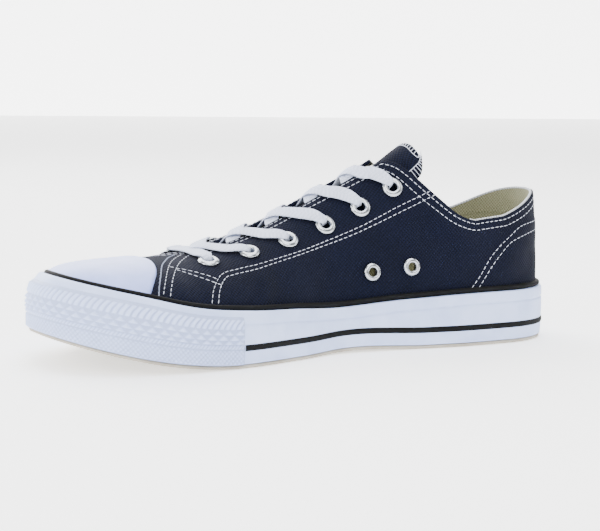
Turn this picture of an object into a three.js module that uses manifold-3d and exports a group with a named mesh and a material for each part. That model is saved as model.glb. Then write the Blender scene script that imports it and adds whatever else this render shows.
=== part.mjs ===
// Right canvas sneaker, low cut, with a vulcanised rubber sole.
// Millimetres, +X to the toe, +Y to the medial side, +Z up.
// The origin lies on the floor under the middle of the sole.

import * as THREE from 'three';
import { mergeVertices } from 'three/addons/utils/BufferGeometryUtils.js';
import Module from 'manifold-3d';

const wasm = await Module();
wasm.setup();

// ---------------------------------------------------------------------------------------------
// Driving dimensions

const GAP = 0.3; // between pieces that meet
const SOLE_LENGTH = 280;
const CANVAS = 1.9; // outer canvas and lining together
const FOXING = 3.3; // rubber band round the sole
const BUMPER = 1.1; // second band round the toe
const CAP = 1.5; // rubber toe cap
const TONGUE = 2.0;
const INSOLE = 3.0;
const INSOLE_DISH = 0.6; // thinner along the middle
const TOE_SPRING = 14.9; // the sole's rise at the tip
const SPRING_START = 0.7; // share of the length where the sole starts to rise
const SPRING_POWER = 1.87;
const ARCH = 1.0; // the sole's rise under the waist
const ARCH_SPAN = { from: 0.3, to: 0.56 };
const TREAD = 1.6; // bottom sheet, which the foxing stands on
const LUG_DEPTH = 1.2;
const EDGE_CUT = 0.8; // how far the rubber's outer corners are cut back

// Sections of the last, a row for each station from heel to toe.
//   at      share of the length along the board
//   half    half width at the board
//   middle  centre line at the board, which bends with the foot
//   board   height of the edge where the upper meets the sole
//   crown   height of the ridge over the section, above the collar it is the last's own
//   square  2 is an ellipse, more is squarer
//   foxing  height of the foxing's upper edge
const SECTIONS = [
  { at: 0.0, half: 29.5, middle: 3.45, board: 12, crown: 112, square: 2.5, foxing: 26.9 },
  { at: 0.1, half: 30.0, middle: 3.15, board: 12, crown: 113, square: 2.4, foxing: 26.6 },
  { at: 0.22, half: 30.6, middle: 3.35, board: 12, crown: 112, square: 2.2, foxing: 26.2 },
  { at: 0.3, half: 29.4, middle: 2.55, board: 12, crown: 100.5, square: 2.15, foxing: 25.2 },
  { at: 0.36, half: 28.4, middle: 1.55, board: 12, crown: 90, square: 2.1, foxing: 24.3 },
  { at: 0.48, half: 30.8, middle: -2.05, board: 12, crown: 73, square: 2.1, foxing: 22.2 },
  { at: 0.58, half: 40.0, middle: -2.85, board: 12, crown: 59.5, square: 2.1, foxing: 23.8 },
  { at: 0.68, half: 46.0, middle: -1.35, board: 12.5, crown: 50.5, square: 2.2, foxing: 24.9 },
  { at: 0.78, half: 45.4, middle: 1.65, board: 15, crown: 46, square: 2.4, foxing: 27.4 },
  { at: 0.88, half: 42.7, middle: 4.15, board: 19, crown: 44.3, square: 2.7, foxing: 33.1 },
  { at: 1.0, half: 39.5, middle: 7.15, board: 25, crown: 44, square: 2.9, foxing: 39.5 },
];

// How the plan outline rounds off at each end, and how far the ridge stands back from it
const HEEL_END = { reach: 0.13, power: 2.2, pull: 0.25, pullReach: 0.18 };
const TOE_END = { reach: 0.215, power: 2.2, pull: 0.36, pullReach: 0.26 };

// Collar line seen from the side: distance from the last's heel and height
const COLLAR = [
  { back: -12, height: 80 },
  { back: 5, height: 75.6 },
  { back: 22, height: 68.2 },
  { back: 36, height: 63.4 },
  { back: 49, height: 61.8 },
  { back: 61, height: 65.2 },
  { back: 71, height: 73.2 },
  { back: 80, height: 82 },
  { back: 88, height: 90.2 },
  { back: 95, height: 92.6 },
];
const COLLAR_TILT = THREE.MathUtils.degToRad(1.3); // lower on the lateral side
const COLLAR_PIVOT = { y: 30.85, z: 61.8 }; // the tilt turns about the medial side's lowest point

const THROAT = { half: 5.4, from: 0.32, to: 0.712 }; // half width, and shares of the length

// Lace eyelets, a pair in each row: share of the length and distance from the centre line
const EYELET_ROWS = [
  { at: 0.718, out: 20.7 },
  { at: 0.638, out: 21.6 },
  { at: 0.56, out: 21.2 },
  { at: 0.482, out: 19.2 },
  { at: 0.411, out: 17.7 },
  { at: 0.346, out: 16.8 },
];
const VENTS = [
  { at: 0.404, height: 38.2 },
  { at: 0.326, height: 40.2 },
];
const EYELET = { bore: 2.4, barrel: 2.9, hole: 3.4, flange: 5.1, lift: 0.55, sheet: 0.6 };
const VENT = { bore: 2.2, barrel: 2.7, hole: 3.2, flange: 4.5, lift: 0.4, sheet: 0.6 };

const EYELET_SIDES = 10;

const LACE = { width: 7.6, thick: 1.5, lift: 0.6, clear: 5.5 };

const BEAD = { height: 2.6, out: 2.2 };
const CAP_EDGE = { centre: 138.6, radius: 56, middle: 2.85 }; // rear edge of the toe cap in plan
const BUMPER_START = 0.704; // share of the length where the bumper ends on both sides
const BUMPER_DROP = 2.8; // bumper's top edge under the foxing's

const TONGUE_ROWS = [
  { at: 0.276, half: 12 },
  { at: 0.28, half: 16.5 },
  { at: 0.288, half: 18.5 },
  { at: 0.34, half: 19.5 },
  { at: 0.5, half: 21 },
  { at: 0.66, half: 21 },
  { at: 0.765, half: 17 },
];
const TONGUE_DIP = 0.012; // share of the length by which its top edge dips in the middle
const TONGUE_LIFT = 1.3; // under the facings, clear of the eyelets

// Chevron grooves in the tread: first groove, pitch, count and half width of each field
const GROOVE_FIELDS = [
  { from: -121, pitch: 12, count: 5, half: 19 },
  { from: 6, pitch: 12, count: 9, half: 28 },
];
const GROOVE = { width: 3, zigzag: 5, teeth: 2 };

const OUTER = { heel: FOXING + GAP, toe: FOXING + BUMPER + 2 * GAP };
const OUTSOLE_INSET = 0.5; // the bottom sheet's edge behind the foxing's face
const HEEL_X = -SOLE_LENGTH / 2 + OUTER.heel;
const LAST_LENGTH = SOLE_LENGTH - OUTER.heel - OUTER.toe;

// ---------------------------------------------------------------------------------------------
// The last's surface

// A column of a table at a share of the length, by a smooth curve through its rows
function column(rows, name, place, key = 'at') {
  const last = rows.length - 1;
  const slope = (i) => {
    const a = rows[Math.max(i - 1, 0)];
    const b = rows[Math.min(i + 1, last)];
    return (b[name] - a[name]) / (b[key] - a[key]);
  };
  let i = 0;
  while (i < last - 1 && place > rows[i + 1][key]) i += 1;
  const span = rows[i + 1][key] - rows[i][key];
  const t = (place - rows[i][key]) / span;
  const t2 = t * t;
  const t3 = t2 * t;
  return (2 * t3 - 3 * t2 + 1) * rows[i][name] + (t3 - 2 * t2 + t) * span * slope(i)
    + (3 * t2 - 2 * t3) * rows[i + 1][name] + (t3 - t2) * span * slope(i + 1);
}

const section = (name, at) => column(SECTIONS, name, at);
const clamp = THREE.MathUtils.clamp;

// 1 along the middle of the shoe, falling to 0 in a round at both ends
function roundEnds(at) {
  const heel = clamp(1 - at / HEEL_END.reach, 0, 1);
  const toe = clamp(1 - (1 - at) / TOE_END.reach, 0, 1);
  return (1 - heel ** HEEL_END.power) ** (1 / HEEL_END.power)
    * (1 - toe ** TOE_END.power) ** (1 / TOE_END.power);
}

// Where on the ridge the section that starts at this share of the board ends
function ridgeAt(at) {
  const heel = clamp(1 - at / HEEL_END.pullReach, 0, 1);
  const toe = clamp(1 - (1 - at) / TOE_END.pullReach, 0, 1);
  return at + HEEL_END.pull * HEEL_END.pullReach * heel ** 2
    - TOE_END.pull * TOE_END.pullReach * toe ** 2;
}

// A point of the last: side is 1 medial and -1 lateral, rise is 0 at the board and 1 on the ridge
function lastPoint(at, side, rise) {
  const ridge = ridgeAt(at);
  const turn = clamp(rise, 0, 1) * Math.PI / 2;
  const power = 2 / section('square', at);
  const across = Math.max(Math.cos(turn), 0) ** power;
  const up = rise < 0 ? rise : Math.sin(turn) ** power;
  const board = section('board', at);
  return new THREE.Vector3(
    HEEL_X + LAST_LENGTH * (ridge + (at - ridge) * across),
    section('middle', at) * across + section('middle', ridge) * (1 - across)
      + side * section('half', at) * roundEnds(at) * across,
    board + (section('crown', ridge) - board) * up,
  );
}

function lastNormal(at, side, rise) {
  const step = 1e-3;
  const turn = Math.acos(clamp(1 - 2 * at, -1, 1));
  const before = (1 - Math.cos(Math.max(turn - step, 0))) / 2;
  const after = (1 - Math.cos(Math.min(turn + step, Math.PI))) / 2;
  const onRidge = rise > 1 - 1e-6;
  const along = lastPoint(after, side, rise).sub(lastPoint(before, side, rise));
  if ((at < 1e-6 || at > 1 - 1e-6) && !onRidge) along.set(0, at < 0.5 ? side : -side, 0);
  const up = onRidge ? new THREE.Vector3(0, -side, 0)
    : lastPoint(at, side, Math.min(rise + step, 1)).sub(lastPoint(at, side, rise - step));
  return along.cross(up).multiplyScalar(-side).normalize();
}

// A point at a distance outside the last's surface, which is the canvas's outer face
function onLast(at, side, rise, offset = 0) {
  const point = lastPoint(at, side, rise);
  return offset === 0 ? point : point.addScaledVector(lastNormal(at, side, rise), offset);
}

// The rise at which a section reaches a height
function riseAt(at, height) {
  const board = section('board', at);
  const share = (height - board) / (section('crown', ridgeAt(at)) - board);
  if (share < 0) return share;
  return Math.asin(clamp(share, 0, 1) ** (section('square', at) / 2)) / (Math.PI / 2);
}

// The rise at a distance from the centre line, for the middle of the shoe
function riseOut(at, out) {
  const across = clamp(out / section('half', at), 0, 1);
  return Math.acos(across ** (section('square', at) / 2)) / (Math.PI / 2);
}

// Height of the sole's underside
function ground(at) {
  const toe = clamp((at - SPRING_START) / (1 - SPRING_START), 0, 1);
  const waist = clamp((at - ARCH_SPAN.from) / (ARCH_SPAN.to - ARCH_SPAN.from), 0, 1);
  return TOE_SPRING * toe ** SPRING_POWER + ARCH * Math.sin(Math.PI * waist) ** 2;
}

// Rises of the edges that the bands share: the board, halfway up, the foxing's top, the bead's top
function bandRises(at) {
  const board = section('board', at);
  const top = section('foxing', at);
  const foxing = riseAt(at, top);
  const step = 0.01;
  const speed = lastPoint(at, 1, foxing + step).distanceTo(lastPoint(at, 1, foxing)) / step;
  return {
    foot: riseAt(at, ground(at) + TREAD + GAP),
    middle: riseAt(at, (board + top) / 2),
    foxing,
    bumper: riseAt(at, top - BUMPER_DROP),
    bead: foxing + (BEAD.height + GAP) / speed,
    cap: foxing + (BEAD.height + 2 * GAP) / speed,
    perMillimetre: 1 / speed,
  };
}

// ---------------------------------------------------------------------------------------------
// Closed bodies

const STEPS = 32; // stations along each side
const STATIONS = Array.from({ length: STEPS + 1 }, (_, i) => (1 - Math.cos(Math.PI * i / STEPS)) / 2);
STATIONS[STATIONS.findIndex((at) => at > BUMPER_START - 0.02)] = BUMPER_START;

// The stations from the heel along the medial side to the toe and back along the lateral side
const LOOP = [
  ...STATIONS.map((at) => ({ at, side: 1 })),
  ...STATIONS.slice(1, -1).reverse().map((at) => ({ at, side: -1 })),
];

function closedBody(points, triangles) {
  const geometry = new THREE.BufferGeometry();
  geometry.setAttribute('position', new THREE.Float32BufferAttribute(points.flatMap((p) => p.toArray()), 3));
  geometry.setIndex(triangles.flat());
  const welded = mergeVertices(geometry, 1e-3);
  const order = welded.index.array;
  const position = welded.attributes.position;
  const kept = [];
  let volume = 0;
  const [a, b, c] = [new THREE.Vector3(), new THREE.Vector3(), new THREE.Vector3()];
  for (let i = 0; i < order.length; i += 3) {
    const [p, q, r] = order.slice(i, i + 3);
    if (p === q || q === r || r === p) continue;
    kept.push([p, q, r]);
    a.fromBufferAttribute(position, p);
    b.fromBufferAttribute(position, q);
    c.fromBufferAttribute(position, r);
    volume += a.dot(b.cross(c));
  }
  welded.setIndex((volume < 0 ? kept.map((t) => t.toReversed()) : kept).flat());
  return welded;
}

// Triangles over a grid of points, rows times columns, either way closed on itself.
// Each cell is split along its shorter diagonal, so that neighbouring layers bend alike.
function gridTriangles(points, rows, columns, closeRows, closeColumns) {
  const triangles = [];
  const lastRow = closeRows ? rows : rows - 1;
  const lastColumn = closeColumns ? columns : columns - 1;
  for (let i = 0; i < lastRow; i += 1) {
    for (let j = 0; j < lastColumn; j += 1) {
      const a = i * columns + j;
      const b = ((i + 1) % rows) * columns + j;
      const c = ((i + 1) % rows) * columns + ((j + 1) % columns);
      const d = i * columns + ((j + 1) % columns);
      const shorter = points[a].distanceTo(points[c]) < points[b].distanceTo(points[d]) + 1e-3;
      if (shorter) triangles.push([a, b, c], [a, c, d]);
      else triangles.push([a, b, d], [b, c, d]);
    }
  }
  return triangles;
}

// A body round the whole shoe whose columns start and end on the centre line
function wholeBody(points) {
  const columns = LOOP.map(({ at, side }) => points(at, side));
  const skin = columns.flat();
  return closedBody(skin, gridTriangles(skin, columns.length, columns[0].length, true, false));
}

// A band with a closed section, round the whole shoe or over part of the loop
function bandBody(loop, points, closed) {
  const columns = loop.map(({ at, side }) => points(at, side));
  const size = columns[0].length;
  const skin = columns.flat();
  const triangles = gridTriangles(skin, columns.length, size, closed, true);
  if (!closed) {
    const end = skin.length - size;
    triangles.push(...sectionTriangles(columns[0]));
    triangles.push(...sectionTriangles(columns.at(-1)).map((t) => t.map((k) => k + end).reverse()));
  }
  return closedBody(skin, triangles);
}

// Triangles over a section that stands across the shoe, turning the way its points run
function sectionTriangles(points) {
  const outline = points.map((p) => new THREE.Vector2(p.y, p.z));
  const turn = Math.sign(THREE.ShapeUtils.area(outline));
  return THREE.ShapeUtils.triangulateShape(outline, []).map((triangle) => {
    const same = Math.sign(THREE.ShapeUtils.area(triangle.map((k) => outline[k]))) === turn;
    return same ? triangle : triangle.toReversed();
  });
}

// A sheet between two layers of a grid, with its four edges closed
function sheetBody(rows, columns, point) {
  const layer = (offset) => {
    const points = [];
    for (let i = 0; i < rows; i += 1) {
      for (let j = 0; j < columns; j += 1) points.push(point(i / (rows - 1), j / (columns - 1), offset));
    }
    return points;
  };
  const size = rows * columns;
  const [outer, inner] = [layer(1), layer(0)];
  const top = gridTriangles(outer, rows, columns, false, false);
  const bottom = gridTriangles(inner, rows, columns, false, false)
    .map((triangle) => triangle.map((k) => k + size).reverse());
  const rim = [];
  for (let j = 0; j < columns - 1; j += 1) rim.push(j);
  for (let i = 0; i < rows - 1; i += 1) rim.push(i * columns + columns - 1);
  for (let j = columns - 1; j > 0; j -= 1) rim.push((rows - 1) * columns + j);
  for (let i = rows - 1; i > 0; i -= 1) rim.push(i * columns);
  const edge = rim.flatMap((a, k) => {
    const b = rim[(k + 1) % rim.length];
    return [[a, b, b + size], [a, b + size, a + size]];
  });
  return closedBody([...outer, ...inner], [...top, ...bottom, ...edge]);
}

function toSolid(geometry) {
  const plain = geometry.clone();
  plain.deleteAttribute('normal');
  plain.deleteAttribute('uv');
  const welded = mergeVertices(plain, 1e-4);
  return new wasm.Manifold(new wasm.Mesh({
    numProp: 3,
    vertProperties: new Float32Array(welded.attributes.position.array),
    triVerts: new Uint32Array(welded.index.array),
  }));
}

function toGeometry(solid) {
  const mesh = solid.getMesh();
  const geometry = new THREE.BufferGeometry();
  geometry.setAttribute('position', new THREE.Float32BufferAttribute(mesh.vertProperties, 3));
  geometry.setIndex(Array.from(mesh.triVerts));
  return geometry;
}

// ---------------------------------------------------------------------------------------------
// Upper

const CROWN_SHARES = [0.27, 0.52, 0.74, 0.9, 1];

// The last's own form, grown or shrunk by an offset, from a foot edge up to the ridge
function lastForm(offset, foot) {
  return toSolid(wholeBody((at, side) => {
    const edges = bandRises(at);
    const start = foot(edges, at);
    const rises = [start, 0, edges.middle, edges.foxing, edges.bead].filter((r, i) => i === 0 || r > start);
    while (rises.length < 5) rises.unshift(start);
    CROWN_SHARES.forEach((share) => rises.push(edges.bead + (1 - edges.bead) * share));
    const skin = rises.map((rise) => onLast(at, side, rise, offset));
    const under = lastPoint(at, side, 1);
    under.z = lastPoint(at, 1, start).z;
    return [under, ...skin];
  }));
}

// Everything over the collar line, seen from the side
function collarCutter() {
  const line = new THREE.SplineCurve(COLLAR.map((row) => new THREE.Vector2(HEEL_X + row.back, row.height)));
  const sky = 140;
  const profile = new THREE.Shape([
    new THREE.Vector2(HEEL_X + COLLAR[0].back, sky),
    ...line.getPoints(26),
    new THREE.Vector2(HEEL_X + COLLAR.at(-1).back + 3, sky),
  ]);
  const reach = 60;
  const solid = new THREE.ExtrudeGeometry(profile, { depth: 2 * reach, bevelEnabled: false });
  solid.rotateX(Math.PI / 2);
  solid.translate(0, reach, 0);
  solid.translate(0, -COLLAR_PIVOT.y, -COLLAR_PIVOT.z);
  solid.rotateX(COLLAR_TILT);
  solid.translate(0, COLLAR_PIVOT.y, COLLAR_PIVOT.z);
  return toSolid(solid);
}

// The throat seen from above: it follows the centre line and ends in a round at the front
function throatCutter() {
  const front = HEEL_X + LAST_LENGTH * THROAT.to - THROAT.half;
  const rear = HEEL_X + LAST_LENGTH * THROAT.from;
  const sides = 8;
  const edge = (side) => Array.from({ length: sides + 1 }, (_, i) => {
    const x = THREE.MathUtils.lerp(rear, front, i / sides);
    return new THREE.Vector2(x, section('middle', (x - HEEL_X) / LAST_LENGTH) + side * THROAT.half);
  });
  const middle = section('middle', (front - HEEL_X) / LAST_LENGTH);
  const round = Array.from({ length: 7 }, (_, i) => {
    const turn = Math.PI / 2 - Math.PI * (i + 1) / 8;
    return new THREE.Vector2(
      front + THROAT.half * Math.cos(turn),
      middle + THROAT.half * Math.sin(turn),
    );
  });
  const outline = new THREE.Shape([...edge(1), ...round, ...edge(-1).reverse()]);
  const solid = new THREE.ExtrudeGeometry(outline, { depth: 120, bevelEnabled: false });
  solid.translate(0, 0, 30);
  return toSolid(solid);
}

// Places for every metal eyelet: a point on the canvas, its outward direction and its make
function eyeletPlaces() {
  const laces = EYELET_ROWS.flatMap((row, i) => [1, -1].map((side) => ({
    name: `lace_eyelet_${side > 0 ? 'medial' : 'lateral'}_${i + 1}`,
    make: EYELET,
    at: row.at,
    side,
    rise: riseOut(row.at, row.out),
  })));
  const vents = VENTS.map((row, i) => ({
    name: `vent_eyelet_medial_${i + 1}`,
    make: VENT,
    at: row.at,
    side: 1,
    rise: riseAt(row.at, row.height),
  }));
  return [...laces, ...vents].map((place) => ({
    ...place,
    point: lastPoint(place.at, place.side, place.rise),
    outward: lastNormal(place.at, place.side, place.rise),
  }));
}

const UP = new THREE.Vector3(0, 1, 0); // axis of a lathe or a cylinder
const turned = (outward) => new THREE.Quaternion().setFromUnitVectors(UP, outward);

function holeCutter(place) {
  const drill = new THREE.CylinderGeometry(place.make.hole, place.make.hole, 12, EYELET_SIDES);
  drill.applyQuaternion(turned(place.outward));
  drill.translate(...place.point.toArray());
  return toSolid(drill);
}

function upperShell() {
  const board = () => 0;
  const belowBoard = () => -0.08;
  let shell = lastForm(0, board).subtract(lastForm(-CANVAS, belowBoard));
  shell = shell.subtract(collarCutter()).subtract(throatCutter());
  for (const place of eyeletPlaces()) shell = shell.subtract(holeCutter(place));
  return toGeometry(shell);
}

// ---------------------------------------------------------------------------------------------
// Sole

// A point beside the last at a height under the board, moved out sideways
function besideLast(at, side, height, out) {
  const rise = Math.min(riseAt(at, height), 0);
  return onLast(at, side, rise, out);
}

function chevronGroove(x, half) {
  const steps = 2 * GROOVE.teeth;
  const line = (shift) => Array.from({ length: steps + 1 }, (_, i) => new THREE.Vector2(
    x + shift + (i % 2 ? GROOVE.zigzag : 0),
    -half + 2 * half * i / steps,
  ));
  const outline = new THREE.Shape([...line(0), ...line(GROOVE.width).reverse()]);
  return new THREE.ExtrudeGeometry(outline, { depth: 2 * LUG_DEPTH, bevelEnabled: false });
}

function outsole() {
  const edge = OUTER.heel - OUTSOLE_INSET;
  const block = wholeBody((at, side) => {
    const low = ground(at);
    const top = section('board', at) - GAP;
    const ridge = ridgeAt(at);
    const under = lastPoint(at, side, 1).setZ(ground(ridge));
    const over = lastPoint(at, side, 1).setZ(section('board', ridge) - GAP);
    return [
      under,
      besideLast(at, side, low, edge - EDGE_CUT),
      besideLast(at, side, low + EDGE_CUT, edge),
      besideLast(at, side, low + TREAD, edge),
      besideLast(at, side, low + TREAD, 0),
      besideLast(at, side, top, 0),
      over,
    ];
  });
  let solid = toSolid(block);
  for (const field of GROOVE_FIELDS) {
    for (let i = 0; i < field.count; i += 1) {
      const x = field.from + i * field.pitch;
      const at = (x - HEEL_X) / LAST_LENGTH;
      const half = Math.min(field.half, section('half', at) * roundEnds(at) - 8);
      const cutter = chevronGroove(x, half);
      cutter.translate(0, section('middle', at), ground(at) - LUG_DEPTH);
      solid = solid.subtract(toSolid(cutter));
    }
  }
  return toGeometry(solid);
}

function insole() {
  const inset = -CANVAS - 2 * GAP;
  return wholeBody((at, side) => {
    const ridge = ridgeAt(at);
    const foot = section('board', at);
    const middle = lastPoint(at, side, 1);
    return [
      middle.clone().setZ(section('board', ridge)),
      onLast(at, side, 0, inset).setZ(foot),
      onLast(at, side, 0, inset).setZ(foot + INSOLE),
      middle.clone().setZ(section('board', ridge) + INSOLE - INSOLE_DISH),
    ];
  });
}

function foxing() {
  return bandBody(LOOP, (at, side) => {
    const edges = bandRises(at);
    const out = GAP + FOXING;
    return [
      onLast(at, side, edges.foot, GAP),
      onLast(at, side, edges.foot, out - EDGE_CUT),
      besideLast(at, side, ground(at) + TREAD + GAP + EDGE_CUT, out),
      onLast(at, side, 0, out),
      onLast(at, side, edges.middle, out),
      onLast(at, side, edges.bumper, out),
      onLast(at, side, edges.foxing, out - EDGE_CUT),
      onLast(at, side, edges.foxing, GAP),
      onLast(at, side, edges.middle, GAP),
      onLast(at, side, 0, GAP),
    ];
  }, true);
}

function bead() {
  return bandBody(LOOP, (at, side) => {
    const edges = bandRises(at);
    const foot = edges.foxing + GAP * edges.perMillimetre;
    return [
      onLast(at, side, foot, GAP),
      onLast(at, side, foot, BEAD.out),
      onLast(at, side, (foot + edges.bead) / 2, GAP + BEAD.out),
      onLast(at, side, edges.bead, BEAD.out - GAP),
      onLast(at, side, edges.bead, GAP),
    ];
  }, true);
}

function toeBumper() {
  const medial = STATIONS.filter((at) => at >= BUMPER_START);
  const loop = [
    ...medial.map((at) => ({ at, side: 1 })),
    ...medial.slice(0, -1).reverse().map((at) => ({ at, side: -1 })),
  ];
  const inner = GAP + FOXING + GAP;
  const outer = inner + BUMPER;
  return bandBody(loop, (at, side) => {
    const edges = bandRises(at);
    const upper = (edges.middle + edges.bumper) / 2;
    return [
      onLast(at, side, edges.foot, inner),
      onLast(at, side, edges.foot, outer - BUMPER / 3),
      besideLast(at, side, ground(at) + TREAD + GAP + EDGE_CUT, outer),
      onLast(at, side, 0, outer),
      onLast(at, side, edges.middle, outer),
      onLast(at, side, upper, outer - BUMPER / 6),
      onLast(at, side, edges.bumper, outer - BUMPER / 2),
      onLast(at, side, edges.bumper, inner),
      onLast(at, side, edges.middle, inner),
      onLast(at, side, 0, inner),
    ];
  }, false);
}

// The cap lies between two larger forms of the last, inside a round rear edge
function toeCap() {
  const foot = (edges) => edges.cap;
  const belowFoot = (edges) => edges.cap - 0.1;
  const edge = new THREE.CylinderGeometry(CAP_EDGE.radius, CAP_EDGE.radius, 100, 64);
  edge.rotateX(Math.PI / 2);
  edge.translate(CAP_EDGE.centre, CAP_EDGE.middle, 50);
  const shell = lastForm(GAP + CAP, foot).subtract(lastForm(GAP, belowFoot));
  return toGeometry(shell.intersect(toSolid(edge)));
}

// ---------------------------------------------------------------------------------------------
// Tongue, eyelets and laces

function tongue() {
  const top = -CANVAS - TONGUE_LIFT;
  const to = TONGUE_ROWS.at(-1).at;
  return sheetBody(14, 9, (along, across, layer) => {
    const aside = 2 * across - 1;
    const from = TONGUE_ROWS[0].at + TONGUE_DIP * (1 - aside ** 2);
    const at = from + (to - from) * along ** 1.3;
    const out = column(TONGUE_ROWS, 'half', at) * aside;
    return onLast(at, out < 0 ? -1 : 1, riseOut(at, Math.abs(out)), layer ? top : top - TONGUE);
  });
}

function eyeletRing({ bore, barrel, flange, lift, sheet }) {
  const top = lift + sheet;
  return new THREE.LatheGeometry([
    new THREE.Vector2(bore, -CANVAS),
    new THREE.Vector2(barrel, -CANVAS),
    new THREE.Vector2(barrel, lift),
    new THREE.Vector2(flange, lift),
    new THREE.Vector2(flange - sheet, top),
    new THREE.Vector2(bore, top),
    new THREE.Vector2(bore, -CANVAS),
  ], EYELET_SIDES);
}

// A point over the facings and the throat, given by its place in plan
function overFoot(x, out, offset) {
  const at = (x - HEEL_X) / LAST_LENGTH;
  return onLast(at, out < 0 ? -1 : 1, riseOut(at, Math.abs(out)), offset);
}

// A flat length of lace between two places in plan, lying on the shoe
function laceRun(from, to) {
  const direction = to.clone().sub(from).normalize();
  const sideways = new THREE.Vector2(-direction.y, direction.x).multiplyScalar(LACE.width);
  return toSolid(sheetBody(7, 2, (along, across, layer) => {
    const place = from.clone().lerp(to, along).addScaledVector(sideways, across - 0.5);
    return overFoot(place.x, place.y, LACE.lift + LACE.thick * layer);
  }));
}

const eyeletInPlan = (row, side) => new THREE.Vector2(
  HEEL_X + LAST_LENGTH * EYELET_ROWS[row].at,
  side * EYELET_ROWS[row].out,
);

// From a point on the way to just before an eyelet
function stopBefore(from, eyelet) {
  const way = eyelet.clone().sub(from);
  return from.clone().addScaledVector(way, 1 - LACE.clear / way.length());
}

function laceBar() {
  const [medial, lateral] = [eyeletInPlan(0, 1), eyeletInPlan(0, -1)];
  return toGeometry(laceRun(stopBefore(medial, lateral), stopBefore(lateral, medial)));
}

// Two lengths that come up at the throat's edges, cross, and run to the eyelets of a row
function laceCrossing(row) {
  const runs = [1, -1].map((side) => {
    const end = eyeletInPlan(row, side);
    const start = eyeletInPlan(row - 1, -side);
    const share = (Math.abs(start.y) - THROAT.half + 2) / (Math.abs(start.y) + Math.abs(end.y));
    const comesUp = start.clone().lerp(end, share);
    return laceRun(comesUp, stopBefore(start, end));
  });
  return toGeometry(runs[0].add(runs[1]));
}

// ---------------------------------------------------------------------------------------------
// Assembly

const canvas = { color: 0x20263a, roughness: 0.9, metalness: 0 };
const rubber = { color: 0xd5dcee, roughness: 0.45, metalness: 0 };
const sheetRubber = { color: 0xb4ada0, roughness: 0.6, metalness: 0 };
const black = { color: 0x2a2c2e, roughness: 0.5, metalness: 0 };
const cotton = { color: 0xe6e9f2, roughness: 0.85, metalness: 0 };
const lining = { color: 0xa9a880, roughness: 0.9, metalness: 0 };
const metal = { color: 0xc8ccd2, roughness: 0.25, metalness: 1 };

const shoe = new THREE.Group();

function add(name, geometry, look) {
  const mesh = new THREE.Mesh(geometry, new THREE.MeshStandardMaterial(look));
  mesh.name = name;
  shoe.add(mesh);
  return mesh;
}

add('outsole', outsole(), sheetRubber);
add('foxing', foxing(), rubber);
add('foxing_bead', bead(), black);
add('toe_bumper', toeBumper(), rubber);
add('toe_cap', toeCap(), rubber);
add('upper', upperShell(), canvas);
add('tongue', tongue(), canvas);
add('insole', insole(), lining);
for (const place of eyeletPlaces()) {
  const ring = add(place.name, eyeletRing(place.make), metal);
  ring.position.copy(place.point);
  ring.quaternion.copy(turned(place.outward));
}
add('lace_bar', laceBar(), cotton);
for (let row = 1; row < EYELET_ROWS.length; row += 1) {
  add(`lace_crossing_${row}`, laceCrossing(row), cotton);
}

export default shoe;
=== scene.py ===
import math
from collections import namedtuple

import bmesh
import bpy
import numpy as np
from bpy.props import FloatProperty, PointerProperty, StringProperty
from mathutils import Matrix, Vector


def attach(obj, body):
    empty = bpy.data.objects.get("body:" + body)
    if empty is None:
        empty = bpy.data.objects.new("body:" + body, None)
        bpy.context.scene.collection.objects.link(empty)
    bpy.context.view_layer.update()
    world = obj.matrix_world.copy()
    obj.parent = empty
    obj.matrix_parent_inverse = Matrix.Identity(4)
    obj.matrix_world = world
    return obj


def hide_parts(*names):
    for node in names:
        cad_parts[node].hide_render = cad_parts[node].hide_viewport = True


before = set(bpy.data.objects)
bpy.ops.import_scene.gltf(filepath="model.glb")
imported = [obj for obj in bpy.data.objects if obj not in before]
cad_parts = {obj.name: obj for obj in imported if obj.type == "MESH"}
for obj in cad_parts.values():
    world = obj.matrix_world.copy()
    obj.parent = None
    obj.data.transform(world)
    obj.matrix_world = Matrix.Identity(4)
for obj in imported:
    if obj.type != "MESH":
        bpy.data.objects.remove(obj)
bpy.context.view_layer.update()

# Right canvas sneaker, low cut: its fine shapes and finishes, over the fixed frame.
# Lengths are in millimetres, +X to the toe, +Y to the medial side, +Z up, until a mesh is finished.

bl_info = {
    "name": "Canvas sneaker",
    "version": (1, 0, 0),
    "blender": (4, 5, 0),
    "location": "View3D > Sidebar > Sneaker",
    "description": "Builds a low canvas sneaker over its packed frame",
    "category": "Mesh",
}

MM = 0.001

# ---------------------------------------------------------------------------------------------
# Driving dimensions, the same as the frame's

GAP = 0.3  # between pieces that meet
SOLE_LENGTH = 280
CANVAS = 1.9
FOXING = 3.3
BUMPER = 1.1
CAP = 1.5
TONGUE = 2.0
INSOLE = 3.0
INSOLE_DISH = 0.6
TOE_SPRING = 14.9
SPRING_START = 0.7
SPRING_POWER = 1.87
ARCH = 1.0
ARCH_SPAN = (0.3, 0.56)
TREAD = 1.6
EDGE_CUT = 0.8

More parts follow.
